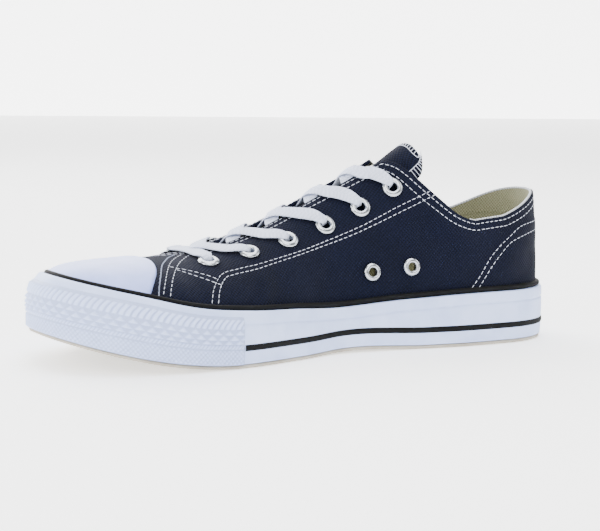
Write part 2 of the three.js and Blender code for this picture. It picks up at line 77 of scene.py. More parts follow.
Section = namedtuple("Section", "at half middle board crown square foxing")
SECTIONS = (
    Section(0.00, 29.5, 3.45, 12.0, 112.0, 2.50, 26.9),
    Section(0.10, 30.0, 3.15, 12.0, 113.0, 2.40, 26.6),
    Section(0.22, 30.6, 3.35, 12.0, 112.0, 2.20, 26.2),
    Section(0.30, 29.4, 2.55, 12.0, 100.5, 2.15, 25.2),
    Section(0.36, 28.4, 1.55, 12.0, 90.0, 2.10, 24.3),
    Section(0.48, 30.8, -2.05, 12.0, 73.0, 2.10, 22.2),
    Section(0.58, 40.0, -2.85, 12.0, 59.5, 2.10, 23.8),
    Section(0.68, 46.0, -1.35, 12.5, 50.5, 2.20, 24.9),
    Section(0.78, 45.4, 1.65, 15.0, 46.0, 2.40, 27.4),
    Section(0.88, 42.7, 4.15, 19.0, 44.3, 2.70, 33.1),
    Section(1.00, 39.5, 7.15, 25.0, 44.0, 2.90, 39.5),
)

# How the plan outline rounds off at each end, and how far the ridge stands back from it
End = namedtuple("End", "reach power pull pull_reach")
HEEL_END = End(0.13, 2.2, 0.25, 0.18)
TOE_END = End(0.215, 2.2, 0.36, 0.26)

# Collar line seen from the side: distance from the last's heel and height
CollarRow = namedtuple("CollarRow", "back height")
COLLAR = (
    CollarRow(-12, 80.0),
    CollarRow(5, 75.6),
    CollarRow(22, 68.2),
    CollarRow(36, 63.4),
    CollarRow(49, 61.8),
    CollarRow(61, 65.2),
    CollarRow(71, 73.2),
    CollarRow(80, 82.0),
    CollarRow(88, 90.2),
    CollarRow(95, 92.6),
)
COLLAR_TILT = math.radians(1.3)
COLLAR_PIVOT_Y = 30.85
COLLAR_CORNER = 0.02  # rounding of the facing's top corner, as a share of the rise

THROAT_HALF = 5.4
THROAT_TO = 0.712

EyeletRow = namedtuple("EyeletRow", "at out")
EYELET_ROWS = (
    EyeletRow(0.718, 20.7),
    EyeletRow(0.638, 21.6),
    EyeletRow(0.560, 21.2),
    EyeletRow(0.482, 19.2),
    EyeletRow(0.411, 17.7),
    EyeletRow(0.346, 16.8),
)
VentRow = namedtuple("VentRow", "at height")
VENTS = (VentRow(0.404, 38.2), VentRow(0.326, 40.2))
EyeletMake = namedtuple("EyeletMake", "bore barrel hole flange lift sheet")
EYELET = EyeletMake(2.4, 2.9, 3.5, 5.1, 0.35, 0.8)
VENT = EyeletMake(2.2, 2.7, 3.2, 4.5, 0.3, 0.7)

BEAD_HEIGHT = 2.6
BEAD_OUT = 2.2
CapEdge = namedtuple("CapEdge", "x y radius")
CAP_EDGE = CapEdge(138.6, 2.85, 56)
BUMPER_START = 0.704
BUMPER_DROP = 2.8

TongueRow = namedtuple("TongueRow", "at half")
TONGUE_ROWS = (
    TongueRow(0.276, 12.0),
    TongueRow(0.280, 16.5),
    TongueRow(0.288, 18.5),
    TongueRow(0.340, 19.5),
    TongueRow(0.500, 21.0),
    TongueRow(0.660, 21.0),
    TongueRow(0.765, 17.0),
)
TONGUE_DIP = 0.012
TONGUE_LIFT = 1.3

OUTER_HEEL = FOXING + GAP
OUTER_TOE = FOXING + BUMPER + 2 * GAP
HEEL_X = -SOLE_LENGTH / 2 + OUTER_HEEL
LAST_LENGTH = SOLE_LENGTH - OUTER_HEEL - OUTER_TOE

# ---------------------------------------------------------------------------------------------
# The last's surface


def column(rows, name, place, key="at"):
    """A column of a table at a share of the length, by a smooth curve through its rows."""
    keys = np.array([getattr(row, key) for row in rows], float)
    values = np.array([getattr(row, name) for row in rows], float)
    slopes = np.empty_like(values)
    slopes[1:-1] = (values[2:] - values[:-2]) / (keys[2:] - keys[:-2])
    slopes[0] = (values[1] - values[0]) / (keys[1] - keys[0])
    slopes[-1] = (values[-1] - values[-2]) / (keys[-1] - keys[-2])
    i = np.clip(np.searchsorted(keys, place) - 1, 0, len(rows) - 2)
    span = keys[i + 1] - keys[i]
    t = (place - keys[i]) / span
    start = (2 * t**3 - 3 * t**2 + 1) * values[i] + (t**3 - 2 * t**2 + t) * span * slopes[i]
    end = (3 * t**2 - 2 * t**3) * values[i + 1] + (t**3 - t**2) * span * slopes[i + 1]
    return start + end


def section(name, at):
    """A measure of the last's section at shares of its length."""
    return column(SECTIONS, name, at)


def end_shares(at, heel_reach, toe_reach):
    """How far into the heel and into the toe a place is, 0 to 1."""
    heel = np.clip(1 - at / heel_reach, 0, 1)
    toe = np.clip(1 - (1 - at) / toe_reach, 0, 1)
    return heel, toe


def round_ends(at):
    """1 along the middle of the shoe, falling to 0 in a round at both ends."""
    heel, toe = end_shares(at, HEEL_END.reach, TOE_END.reach)
    heel_round = (1 - heel**HEEL_END.power) ** (1 / HEEL_END.power)
    return heel_round * (1 - toe**TOE_END.power) ** (1 / TOE_END.power)


def ridge_at(at):
    """Where on the ridge the section that starts at this share of the board ends."""
    heel, toe = end_shares(at, HEEL_END.pull_reach, TOE_END.pull_reach)
    heel_pull = HEEL_END.pull * HEEL_END.pull_reach * heel**2
    return at + heel_pull - TOE_END.pull * TOE_END.pull_reach * toe**2


def last_point(at, side, rise):
    """Points of the last: side is 1 medial and -1 lateral, rise is 0 at the board, 1 on the ridge."""
    at, side, rise = np.broadcast_arrays(np.asarray(at, float), side, np.asarray(rise, float))
    ridge = ridge_at(at)
    turn = np.clip(rise, 0, 1) * np.pi / 2
    power = 2 / section("square", at)
    across = np.maximum(np.cos(turn), 0) ** power
    up = np.where(rise < 0, rise, np.sin(turn) ** power)
    board = section("board", at)
    middle = section("middle", at) * across + section("middle", ridge) * (1 - across)
    x = HEEL_X + LAST_LENGTH * (ridge + (at - ridge) * across)
    y = middle + side * section("half", at) * round_ends(at) * across
    z = board + (section("crown", ridge) - board) * up
    return np.stack([x, y, z], axis=-1)


def last_normal(at, side, rise):
    """Unit normals of the last, pointing outwards."""
    step = 1e-3
    at, side, rise = np.broadcast_arrays(np.asarray(at, float), side, np.asarray(rise, float))
    turn = np.arccos(np.clip(1 - 2 * at, -1, 1))
    before = (1 - np.cos(np.maximum(turn - step, 0))) / 2
    after = (1 - np.cos(np.minimum(turn + step, np.pi))) / 2
    on_ridge = (rise > 1 - 1e-6)[..., None]
    at_tip = ((at < 1e-6) | (at > 1 - 1e-6))[..., None]
    zero = np.zeros(at.shape)
    round_tip = np.stack([zero, np.where(at < 0.5, side, -side), zero], axis=-1)
    over_ridge = np.stack([zero, -side + zero, zero], axis=-1)
    along = last_point(after, side, rise) - last_point(before, side, rise)
    along = np.where(at_tip & ~on_ridge, round_tip, along)
    up = last_point(at, side, np.minimum(rise + step, 1)) - last_point(at, side, rise - step)
    up = np.where(on_ridge, over_ridge, up)
    normal = np.cross(along, up) * -side[..., None]
    return normal / np.linalg.norm(normal, axis=-1, keepdims=True)


def on_last(at, side, rise, offset=0.0):
    """Points at a distance outside the last's surface, which is the canvas's outer face."""
    offset = np.asarray(offset, float)[..., None]
    return last_point(at, side, rise) + last_normal(at, side, rise) * offset


def rise_at(at, height):
    """The rise at which a section reaches a height."""
    board = section("board", at)
    share = (height - board) / (section("crown", ridge_at(at)) - board)
    above = np.arcsin(np.clip(share, 0, 1) ** (section("square", at) / 2)) / (np.pi / 2)
    return np.where(share < 0, share, above)


def rise_out(at, out):
    """The rise at a distance from the centre line, for the middle of the shoe."""
    across = np.clip(out / section("half", at), 0, 1)
    return np.arccos(across ** (section("square", at) / 2)) / (np.pi / 2)


def ground(at):
    """Height of the sole's underside."""
    toe = np.clip((at - SPRING_START) / (1 - SPRING_START), 0, 1)
    waist = np.clip((at - ARCH_SPAN[0]) / (ARCH_SPAN[1] - ARCH_SPAN[0]), 0, 1)
    return TOE_SPRING * toe**SPRING_POWER + ARCH * np.sin(np.pi * waist) ** 2


def foxing_rise(at):
    """The rise of the foxing's upper edge."""
    return rise_at(at, section("foxing", at))


def rise_per_mm(at, rise):
    """How much the rise grows over one millimetre of the surface."""
    step = 0.01
    run = last_point(at, 1, rise + step) - last_point(at, 1, rise)
    return step / np.linalg.norm(run, axis=-1)


def find_place(target, side, axes=(0, 1, 2)):
    """(at, rise) of the surface's points nearest to targets, measured along the given axes."""
    target = np.asarray(target, float)
    at = np.clip((target[:, 0] - HEEL_X) / LAST_LENGTH, 0.01, 0.99)
    if 2 in axes:
        rise = rise_at(at, target[:, 2])
    else:
        rise = rise_out(at, np.abs(target[:, 1] - section("middle", at)))
    axes = list(axes)
    step = 1e-4
    for _ in range(14):
        here = last_point(at, side, rise)
        along = ((last_point(at + step, side, rise) - here) / step)[:, axes]
        up = ((here - last_point(at, side, rise - step)) / step)[:, axes]
        miss = (target - here)[:, axes]
        aa, ab, bb = (along * along).sum(1), (along * up).sum(1), (up * up).sum(1)
        am, bm = (along * miss).sum(1), (up * miss).sum(1)
        det = aa * bb - ab * ab + 1e-9
        at = np.clip(at + np.clip((am * bb - bm * ab) / det, -0.02, 0.02), 1e-4, 1 - 2e-4)
        rise = np.clip(rise + np.clip((bm * aa - am * ab) / det, -0.08, 0.08), 0.001, 0.9995)
    return at, rise


# ---------------------------------------------------------------------------------------------
# The upper's edge: the collar, the facings' top corners and the throat


def collar_rise(at, side):
    """The rise where each section meets the collar line, over 1 where it stays below the line."""
    low = np.full(at.shape, 0.3)
    high = np.ones(at.shape)

    def over_line(rise):
        point = last_point(at, side, rise)
        line = column(COLLAR, "height", np.clip(point[:, 0] - HEEL_X, -12, 95), "back")
        tilt = math.tan(COLLAR_TILT) * (point[:, 1] - COLLAR_PIVOT_Y)
        return point[:, 2] - line - tilt

    for _ in range(30):
        half = (low + high) / 2
        below = over_line(half) < 0
        low = np.where(below, half, low)
        high = np.where(below, high, half)
    beyond = np.clip(at - (COLLAR[-1].back - 1) / LAST_LENGTH, 0, 1)
    return high + beyond * 12


def throat_rise(at):
    """The rise of the throat's edge, which ends in a half circle at the front."""
    front = HEEL_X + LAST_LENGTH * THROAT_TO
    into_round = HEEL_X + LAST_LENGTH * at - (front - THROAT_HALF)
    share = np.clip(into_round / THROAT_HALF, 0, 1)
    return rise_out(at, THROAT_HALF * np.sqrt(1 - share**2))


def edge_rise(at, side):
    """The rise of the upper's edge: collar and throat with a round corner between them."""
    collar, throat = collar_rise(at, side), throat_rise(at)
    softened = (collar + throat - np.sqrt((collar - throat) ** 2 + 4 * COLLAR_CORNER**2)) / 2
    near = np.clip((at - 0.2) / 0.08, 0, 1) * np.clip((0.6 - at) / 0.1, 0, 1)
    return near * softened + (1 - near) * np.minimum(collar, throat)


def stations(count, extra=()):
    """Shares of the length, closer together at both ends."""
    even = (1 - np.cos(np.linspace(0, np.pi, count))) / 2
    both = np.sort(np.concatenate([even, np.asarray(extra, float)]))
    return both[np.concatenate([[True], np.diff(both) > 4e-4])]


# ---------------------------------------------------------------------------------------------
# Mesh making

UV_NAME = "UVMap"


def grid_mesh(bm, points, uv=None, material=0):
    """A create_grid sheet whose vertices are moved to an array of points, rows times columns."""
    rows, columns = points.shape[:2]
    layer = bm.loops.layers.uv.get(UV_NAME) or bm.loops.layers.uv.new(UV_NAME)
    made = bmesh.ops.create_grid(bm, x_segments=columns - 1, y_segments=rows - 1, size=1.0)
    verts = sorted(made["verts"], key=lambda v: (round(v.co.y, 6), round(v.co.x, 6)))
    flat = points.reshape(-1, 3) * MM
    index = {}
    for k, vert in enumerate(verts):
        vert.co = flat[k]
        index[vert] = k
    faces = {face for vert in verts for face in vert.link_faces}
    table = None if uv is None else uv.reshape(-1, 2)
    for face in faces:
        face.material_index = material
        face.smooth = True
        if table is None:
            continue
        for loop in face.loops:
            loop[layer].uv = table[index[loop.vert]]
    return faces


def finish_mesh(bm, name, materials, replaces=(), weld=0.02, recalculate=True):
    """Turns the bmesh into a finished piece that rides on the shoe's one body."""
    if weld:
        bmesh.ops.remove_doubles(bm, verts=bm.verts, dist=weld * MM)
    if recalculate:
        bmesh.ops.recalc_face_normals(bm, faces=bm.faces)
    mesh = bpy.data.meshes.new(name)
    bm.to_mesh(mesh)
    bm.free()
    for polygon in mesh.polygons:
        polygon.use_smooth = True
    for material in materials:
        mesh.materials.append(material)
    piece = bpy.data.objects.new(name, mesh)
    bpy.context.scene.collection.objects.link(piece)
    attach(piece, "root")
    if replaces:
        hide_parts(*replaces)
    return piece


def add_wall(piece, millimetres, lined=True):
    """Gives a sheet its thickness inwards, with the second material on its inner face."""
    wall = piece.modifiers.new("wall", "SOLIDIFY")
    wall.thickness = millimetres * MM
    wall.offset = -1
    if lined:
        wall.material_offset = 1
        wall.material_offset_rim = 0


def arc_lengths(points):
    """Distance run along the last axis but one of an array of points."""
    steps = np.linalg.norm(np.diff(points, axis=-2), axis=-1)
    return np.concatenate([np.zeros(steps.shape[:-1] + (1,)), np.cumsum(steps, axis=-1)], axis=-1)


def smooth_line(points, per_span=12):
    """A smooth curve through a few given points."""
    points = np.asarray(points, float)
    padded = np.vstack([2 * points[0] - points[1], points, 2 * points[-1] - points[-2]])
    line = []
    for i in range(1, len(padded) - 2):
        a, b, c, d = padded[i - 1 : i + 3]
        t = np.linspace(0, 1, per_span, endpoint=False)[:, None]
        line.append(
            0.5 * (2 * b + (c - a) * t + (2 * a - 5 * b + 4 * c - d) * t**2
                   + (3 * b - a - 3 * c + d) * t**3)
        )
    return np.vstack([*line, points[-1:]])


def respaced(values, run, places):
    """Rows of an array that follow a run of distances, read off at other distances."""
    return np.stack([np.interp(places, run, column) for column in values.T], axis=-1)


def relaxed(line, passes):
    """A line with its inner points drawn towards their neighbours."""
    line = line.copy()
    for _ in range(passes):
        line[1:-1] = (line[:-2] + 2 * line[1:-1] + line[2:]) / 4
    return line


def smoothstep(value):
    """A soft step from 0 to 1 as the value goes from 0 to 1."""
    value = np.clip(value, 0, 1)
    return value * value * (3 - 2 * value)


# ---------------------------------------------------------------------------------------------
# Materials


def linear(hex_colour):
    """An sRGB hex colour as the linear values that the shaders take."""
    channels = [int(hex_colour[i : i + 2], 16) / 255 for i in (1, 3, 5)]
    values = [c / 12.92 if c <= 0.04045 else ((c + 0.055) / 1.055) ** 2.4 for c in channels]
    return (*values, 1.0)


def node(tree, kind, links=None, values=None, **settings):
    """Adds a node with its settings, its input values and its links."""
    made = tree.nodes.new(kind)
    for key, value in settings.items():
        setattr(made, key, value)
    for key, value in (values or {}).items():
        made.inputs[key].default_value = value
    for key, socket in (links or {}).items():
        tree.links.new(socket, made.inputs[key])
    return made


def new_material(name, values):
    """A material with one Principled shader whose uniform values are set on its own sockets."""
    material = bpy.data.materials.new(name)
    material.use_nodes = True
    tree = material.node_tree
    shader = tree.nodes["Principled BSDF"]
    for key, value in values.items():
        shader.inputs[key].default_value = value
    return material, tree, shader


def colour_ramp(tree, factor, stops):
    """A colour read off a ramp of (place, hex colour) stops."""
    ramp = node(tree, "ShaderNodeValToRGB", {"Fac": factor})
    elements = ramp.color_ramp.elements
    while len(elements) < len(stops):
        elements.new(0.5)
    for element, (place, colour) in zip(elements, stops):
        element.position = place
        element.color = linear(colour)
    return ramp.outputs["Color"]


def sine_of(tree, value, wavelength):
    """The sine of a length in millimetres, one wave for each wavelength."""
    scaled = node(tree, "ShaderNodeMath", {0: value}, {1: 2 * math.pi / wavelength}, operation="MULTIPLY")
    return node(tree, "ShaderNodeMath", {0: scaled.outputs[0]}, operation="SINE").outputs[0]


def combine(tree, operation, a, b, amount=None):
    """A Math node between two sockets, or a socket and a number."""
    links, values = {}, {}
    for key, item in ((0, a), (1, b)):
        (values if isinstance(item, (int, float)) else links)[key] = item
    if amount is not None:
        values[2] = amount
    return node(tree, "ShaderNodeMath", links, values, operation=operation).outputs[0]


def mixed(tree, factor, first, second):
    """A colour between two hex colours."""
    return colour_ramp(tree, factor, ((0.0, first), (1.0, second)))


def add_bump(tree, shader, height, depth_mm, strength=1.0):
    """Bends the shading normal by a height from 0 to 1."""
    bump = node(
        tree, "ShaderNodeBump", {"Height": height},
        {"Strength": strength, "Distance": depth_mm * MM},
    )
    tree.links.new(bump.outputs["Normal"], shader.inputs["Normal"])


def surface_uv(tree):
    """The piece's own UV map, which holds millimetres along and across the cloth."""
    uv = node(tree, "ShaderNodeUVMap", uv_map=UV_NAME)
    parts = node(tree, "ShaderNodeSeparateXYZ", {"Vector": uv.outputs["UV"]})
    return uv.outputs["UV"], parts.outputs["X"], parts.outputs["Y"]


def cloth_noise(tree, uv, scale):
    """Fibres that follow the cloth's own UV map."""
    values = {"Scale": scale, "Detail": 4.0, "Roughness": 0.7}
    return node(tree, "ShaderNodeTexNoise", {"Vector": uv}, values).outputs["Fac"]


def object_noise(tree, size_mm, detail=3.0, roughness=0.55):
    """Noise that keeps its size in millimetres on the piece."""
    place = node(tree, "ShaderNodeTexCoord").outputs["Object"]
    noise = node(
        tree, "ShaderNodeTexNoise", {"Vector": place},
        {"Scale": 1 / (size_mm * MM), "Detail": detail, "Roughness": roughness},
    )
    return noise.outputs["Fac"]


# How far the weave, the fibres and slow wear each move the cloth's colour from gap to thread
WEAVE_TONE, WEAVE_BASE = 0.7, 0.08
FIBRE_TONE, FIBRE_BASE = 0.9, -0.42
WEAR_TONE = 0.35


def cotton_duck(name, gap_colour, thread_colour, thread_mm, sheen):
    """Dyed plain-woven cotton: matt, with soft pale tops on the threads and dark gaps between them.

    Real threads are about 0.4 mm apart, and are drawn about twice as wide so that the weave shows.
    """
    values = {"Roughness": 0.92, "Specular IOR Level": 0.12, "Sheen Weight": sheen, "Sheen Roughness": 0.5}
    material, tree, shader = new_material(name, values)
    uv, along, across = surface_uv(tree)
    warp, weft = (sine_of(tree, value, 2 * thread_mm) for value in (along, across))
    crossing = combine(tree, "MULTIPLY", warp, weft)
    weave = combine(tree, "MULTIPLY_ADD", crossing, 0.5, 0.5)
    fibres = cloth_noise(tree, uv, scale=1.3)
    patches = object_noise(tree, size_mm=22, detail=2.0)
    worn = combine(tree, "MULTIPLY_ADD", patches, WEAR_TONE, -WEAR_TONE / 2)
    fibre_tone = combine(tree, "MULTIPLY_ADD", fibres, FIBRE_TONE, FIBRE_BASE)
    weave_tone = combine(tree, "MULTIPLY_ADD", weave, WEAVE_TONE, WEAVE_BASE)
    shade = combine(tree, "ADD", combine(tree, "ADD", weave_tone, fibre_tone), worn)
    tree.links.new(mixed(tree, shade, gap_colour, thread_colour), shader.inputs["Base Color"])
    height = combine(tree, "ADD", weave, combine(tree, "MULTIPLY", fibres, 0.7))
    add_bump(tree, shader, height, depth_mm=0.3)
    return material


def moulded_rubber(name, colour, shade, roughness, grain_mm, depth_mm, coat=0.0, specular=0.4):
    """Pressed vulcanised rubber: satin, with a faint grain from the mould and slightly uneven colour."""
    values = {
        "Roughness": roughness, "Specular IOR Level": specular,
        "Coat Weight": coat, "Coat Roughness": 0.3,
    }
    material, tree, shader = new_material(name, values)
    cloudy = object_noise(tree, size_mm=14)
    tone = colour_ramp(tree, cloudy, ((0.3, shade), (0.62, colour)))
    tree.links.new(tone, shader.inputs["Base Color"])
    add_bump(tree, shader, object_noise(tree, grain_mm, detail=2.0), depth_mm)
    return material


def patterned_rubber(name, colour, shade, hollow_painted_shade):
    """The same rubber pressed with a pattern, greyer in its hollows with painted shade.

    The piece's UV map holds the height of the pattern in millimetres.
    """
    material, tree, shader = new_material(name, {"Roughness": 0.44, "Specular IOR Level": 0.4})
    _, _, height = surface_uv(tree)
    cloudy = combine(tree, "MULTIPLY_ADD", object_noise(tree, size_mm=9), 0.25, -0.12)
    level = combine(tree, "ADD", height, cloudy)
    # painted shade: the ramp gives the pattern's low places a darker grey-blue, for the shade that falls
    # in them
    tone = colour_ramp(tree, level, ((0.0, hollow_painted_shade), (0.25, shade), (0.6, colour)))
    tree.links.new(tone, shader.inputs["Base Color"])
    add_bump(tree, shader, object_noise(tree, size_mm=0.5, detail=2.0), depth_mm=0.03)
    return material


def braided_cotton(name, colour, shade):
    """Flat tubular lace: matt bleached cotton whose braid runs in chevrons about its middle.

    Real strands are under a millimetre wide, and are drawn nearly twice as wide so that they show.
    """
    values = {"Roughness": 0.85, "Specular IOR Level": 0.3, "Sheen Weight": 0.25, "Sheen Roughness": 0.4}
    material, tree, shader = new_material(name, values)
    uv, along, across = surface_uv(tree)
    slant = combine(tree, "ADD", along, combine(tree, "ABSOLUTE", across, 0.0))
    strands = sine_of(tree, slant, wavelength=1.9)
    ribs = sine_of(tree, across, wavelength=1.5)
    braid = combine(tree, "MULTIPLY_ADD", combine(tree, "MULTIPLY", strands, ribs), 0.5, 0.5)
    fuzz = cloth_noise(tree, uv, scale=1.6)
    braid_tone = combine(tree, "MULTIPLY", braid, 0.5)
    tone = combine(tree, "ADD", braid_tone, combine(tree, "MULTIPLY", fuzz, 0.6))
    tree.links.new(mixed(tree, tone, shade, colour), shader.inputs["Base Color"])
    add_bump(tree, shader, combine(tree, "ADD", braid, fuzz), depth_mm=0.22)
    return material


def sewing_thread(name, colour, shade):
    """Twisted cotton thread: matt, with fine uneven strands."""
    material, tree, shader = new_material(name, {"Roughness": 0.8, "Sheen Weight": 0.2})
    strands = object_noise(tree, size_mm=0.35, detail=2.0)
    tree.links.new(mixed(tree, strands, shade, colour), shader.inputs["Base Color"])
    add_bump(tree, shader, strands, depth_mm=0.08)
    return material


def rolled_aluminium(name, colour, shade):
    """Eyelet metal: bright aluminium, rolled over, smudged and finely dented by the setting tool."""
    material, tree, shader = new_material(name, {"Metallic": 1.0})
    smudges = object_noise(tree, size_mm=2.2)
    tree.links.new(mixed(tree, smudges, shade, colour), shader.inputs["Base Color"])
    rough = combine(tree, "MULTIPLY_ADD", smudges, 0.22, 0.14)
    tree.links.new(rough, shader.inputs["Roughness"])
    add_bump(tree, shader, object_noise(tree, size_mm=0.5, detail=2.0), depth_mm=0.02)
    return material


def woven_label(name, ground_colour, border_colour, half_long, half_wide, border):
    """A plain woven label: fine pale satin weave with a dark woven border and no design."""
    material, tree, shader = new_material(name, {"Roughness": 0.75, "Specular IOR Level": 0.3})
    _, along, across = surface_uv(tree)
    past_end = combine(tree, "GREATER_THAN", combine(tree, "ABSOLUTE", along, 0.0), half_long - border)
    past_side = combine(tree, "GREATER_THAN", combine(tree, "ABSOLUTE", across, 0.0), half_wide - border)
    edge = combine(tree, "MAXIMUM", past_end, past_side)
    tree.links.new(mixed(tree, edge, ground_colour, border_colour), shader.inputs["Base Color"])
    add_bump(tree, shader, sine_of(tree, across, wavelength=0.7), depth_mm=0.06)
    return material


class Finishes:
    """The shoe's materials, made once and looked up by name."""

    made = {}

    @classmethod
    def get(cls, name):
        if name not in cls.made:
            colours = bpy.context.scene.sneaker_colours
            cls.made[name] = MAKERS[name](colours)
        return cls.made[name]


MAKERS = {
    "canvas": lambda c: cotton_duck(
        "navy_cotton_duck", c.canvas_gap, c.canvas_thread, thread_mm=0.95, sheen=0.02
    ),
    "lining": lambda c: cotton_duck(
        "khaki_cotton_lining", c.lining_gap, c.lining_thread, thread_mm=0.9, sheen=0.1
    ),
    "edge": lambda c: cotton_duck(
        "bleached_cotton_edge", c.edge_gap, c.edge_thread, thread_mm=0.8, sheen=0.1
    ),
    "fold": lambda c: cotton_duck(
        "pale_folded_cotton", c.fold_gap, c.fold_thread, thread_mm=0.8, sheen=0.05
    ),
    "rubber": lambda c: moulded_rubber(
        "white_vulcanised_rubber", c.rubber, c.rubber_shade, roughness=0.46, grain_mm=0.5, depth_mm=0.03
    ),
    # the bumper's finish paints shade into the pattern's hollows
    "bumper": lambda c: patterned_rubber(
        "pressed_pattern_rubber", c.rubber, c.rubber_shade, c.rubber_hollow_painted_shade
    ),
    "cap": lambda c: moulded_rubber(
        "smooth_cap_rubber", c.cap, c.cap_shade, roughness=0.38, grain_mm=1.2, depth_mm=0.02, coat=0.12
    ),
    "black": lambda c: moulded_rubber(
        "black_strip_rubber", c.black, c.black_shade, roughness=0.7, grain_mm=0.6, depth_mm=0.06,
        specular=0.12,
    ),
    "sheet": lambda c: moulded_rubber(
        "tan_sheet_rubber", c.sheet, c.sheet_shade, roughness=0.7, grain_mm=0.6, depth_mm=0.06
    ),
    "lace": lambda c: braided_cotton("white_braided_cotton", c.lace, c.lace_shade),
    "thread": lambda c: sewing_thread("white_sewing_thread", c.thread, c.thread_shade),
    "metal": lambda c: rolled_aluminium("rolled_aluminium", c.metal, c.metal_shade),
    "label": lambda c: woven_label(
        "plain_woven_label", c.label, c.label_border, LABEL.half_long, LABEL.half_wide, LABEL.border
    ),
}

# ---------------------------------------------------------------------------------------------
# Sole

LOOP_COUNT = 150
SOLE_COUNT = 300
GrooveField = namedtuple("GrooveField", "start pitch count half")
GROOVE_FIELDS = (GrooveField(-121, 12, 5, 19), GrooveField(6, 12, 9, 28))
GROOVE_WIDTH = 3.0
GROOVE_ZIGZAG = 5.0
GROOVE_WALL = 0.7  # width of a groove's sloping wall
LUG_DEPTH = 1.2
OUTSOLE_INSET = 0.5
UNDER_LAST = -2.0  # how far the sheet's upper rim reaches in under the last


def quarter_round(share):
    """The height of a quarter circle of radius 1, at a share of the way in from its edge."""
    return np.sqrt(np.clip(1 - (1 - np.clip(share, 0, 1)) ** 2, 0, 1))


def wall_point(at, side, height, out):
    """A point beside the last at a height, moved out from it."""
    return on_last(at, side, rise_at(at, height), out)


def whole_loop(count, extra=()):
    """Stations from the heel along the medial side to the toe, and back along the lateral side."""
    medial = stations(count, extra)
    at = np.concatenate([medial, medial[::-1][1:]])
    side = np.concatenate([np.ones(len(medial)), -np.ones(len(medial) - 1)])
    return at, side


def tread_height(x, y, at):
    """Depth of the chevron grooves in the bottom sheet."""
    depth = np.zeros(x.shape)
    from_middle = y - section("middle", at)
    for field in GROOVE_FIELDS:
        steps = (from_middle + field.half) / (field.half / 2)
        shift = GROOVE_ZIGZAG * (1 - np.abs(np.mod(steps, 2) - 1))
        across = np.mod(x - field.start - shift, field.pitch)
        index = np.floor((x - field.start - shift) / field.pitch)
        inside = (index >= 0) & (index < field.count) & (np.abs(from_middle) < field.half)
        into = np.minimum(across, GROOVE_WIDTH - across) / GROOVE_WALL
        depth = np.maximum(depth, np.where(inside, LUG_DEPTH * smoothstep(into), 0))
    return depth


def make_outsole():
    """The tan sheet: its grooved face, and the thin wall that shows under the foxing."""
    at = stations(SOLE_COUNT)
    edge = OUTER_HEEL - OUTSOLE_INSET
    medial = wall_point(at, 1, ground(at), edge - EDGE_CUT)
    lateral = wall_point(at, -1, ground(at), edge - EDGE_CUT)
    across = np.linspace(0, 1, 90)[None, :, None]
    bottom = medial[:, None] + (lateral - medial)[:, None] * across
    spread = np.broadcast_to(at[:, None], bottom.shape[:2])
    bottom[..., 2] = ground(spread) + tread_height(bottom[..., 0], bottom[..., 1], spread)
    bm = bmesh.new()
    grid_mesh(bm, bottom)
    loop_at, side = whole_loop(SOLE_COUNT)
    low = ground(loop_at)
    wall = np.stack([
        wall_point(loop_at, side, low, edge - EDGE_CUT),
        wall_point(loop_at, side, low + EDGE_CUT * 0.3, edge - EDGE_CUT * 0.3),
        wall_point(loop_at, side, low + EDGE_CUT, edge),
        wall_point(loop_at, side, low + TREAD, edge),
        wall_point(loop_at, side, low + TREAD + GAP / 2, edge - 1),
        wall_point(loop_at, side, low + TREAD + GAP / 2, UNDER_LAST),
    ], axis=1)
    grid_mesh(bm, wall)
    return finish_mesh(bm, "outsole_sheet", [Finishes.get("sheet")], ["outsole"])


# The fine line round the foxing: distance below its upper edge, depth and half width
FoxingLine = namedtuple("FoxingLine", "below depth width")
FOXING_LINE = FoxingLine(5.5, 0.7, 0.45)
FOXING_BULGE = 0.25


def make_foxing():
    """The white band, with rounded edges and the line that its calender left."""
    at, side = whole_loop(LOOP_COUNT)
    low = ground(at) + TREAD + GAP
    top = section("foxing", at)
    out = GAP + FOXING
    shares = np.concatenate([[0, 0.012, 0.03], np.linspace(0.06, 0.94, 44), [0.97, 0.988, 1.0]])
    rows = [wall_point(at, side, low, GAP)]
    for share in shares:
        height = low + (top - low) * share
        edge = np.minimum(height - low, top - height)
        corner = EDGE_CUT * quarter_round(edge / EDGE_CUT)
        from_line = (top - height - FOXING_LINE.below) / FOXING_LINE.width
        groove = FOXING_LINE.depth * np.exp(-(from_line**2))
        bulge = FOXING_BULGE * np.sin(np.pi * share)
        rows.append(wall_point(at, side, height, out - EDGE_CUT + corner + bulge - groove))
    rows.append(wall_point(at, side, top, GAP))
    bm = bmesh.new()
    grid_mesh(bm, np.stack(rows, axis=1))
    return finish_mesh(bm, "foxing_band", [Finishes.get("rubber")], ["foxing"])


Stripe = namedtuple("Stripe", "low high out sunk")
STRIPE = Stripe(8.0, 11.0, 0.35, 0.25)
STRIPE_REACH = 0.998  # of the way to the bumper


def make_stripe():
    """The black strip round the foxing, from one end of the bumper round the heel to the other."""
    share = np.linspace(-1, 1, 420)
    at = BUMPER_START * share**2 * STRIPE_REACH
    side = np.where(share < 0, 1.0, -1.0)
    base = ground(at)
    out = GAP + FOXING + FOXING_BULGE
    rows = []
    for turn in np.linspace(0, np.pi, 9):
        height = base + STRIPE.low + (STRIPE.high - STRIPE.low) * (1 - math.cos(turn)) / 2
        proud = (STRIPE.out + STRIPE.sunk) * math.sin(turn) ** 0.6
        rows.append(wall_point(at, side, height, out - STRIPE.sunk + proud))
    bm = bmesh.new()
    grid_mesh(bm, np.stack(rows, axis=1))
    return finish_mesh(bm, "foxing_stripe", [Finishes.get("black")])


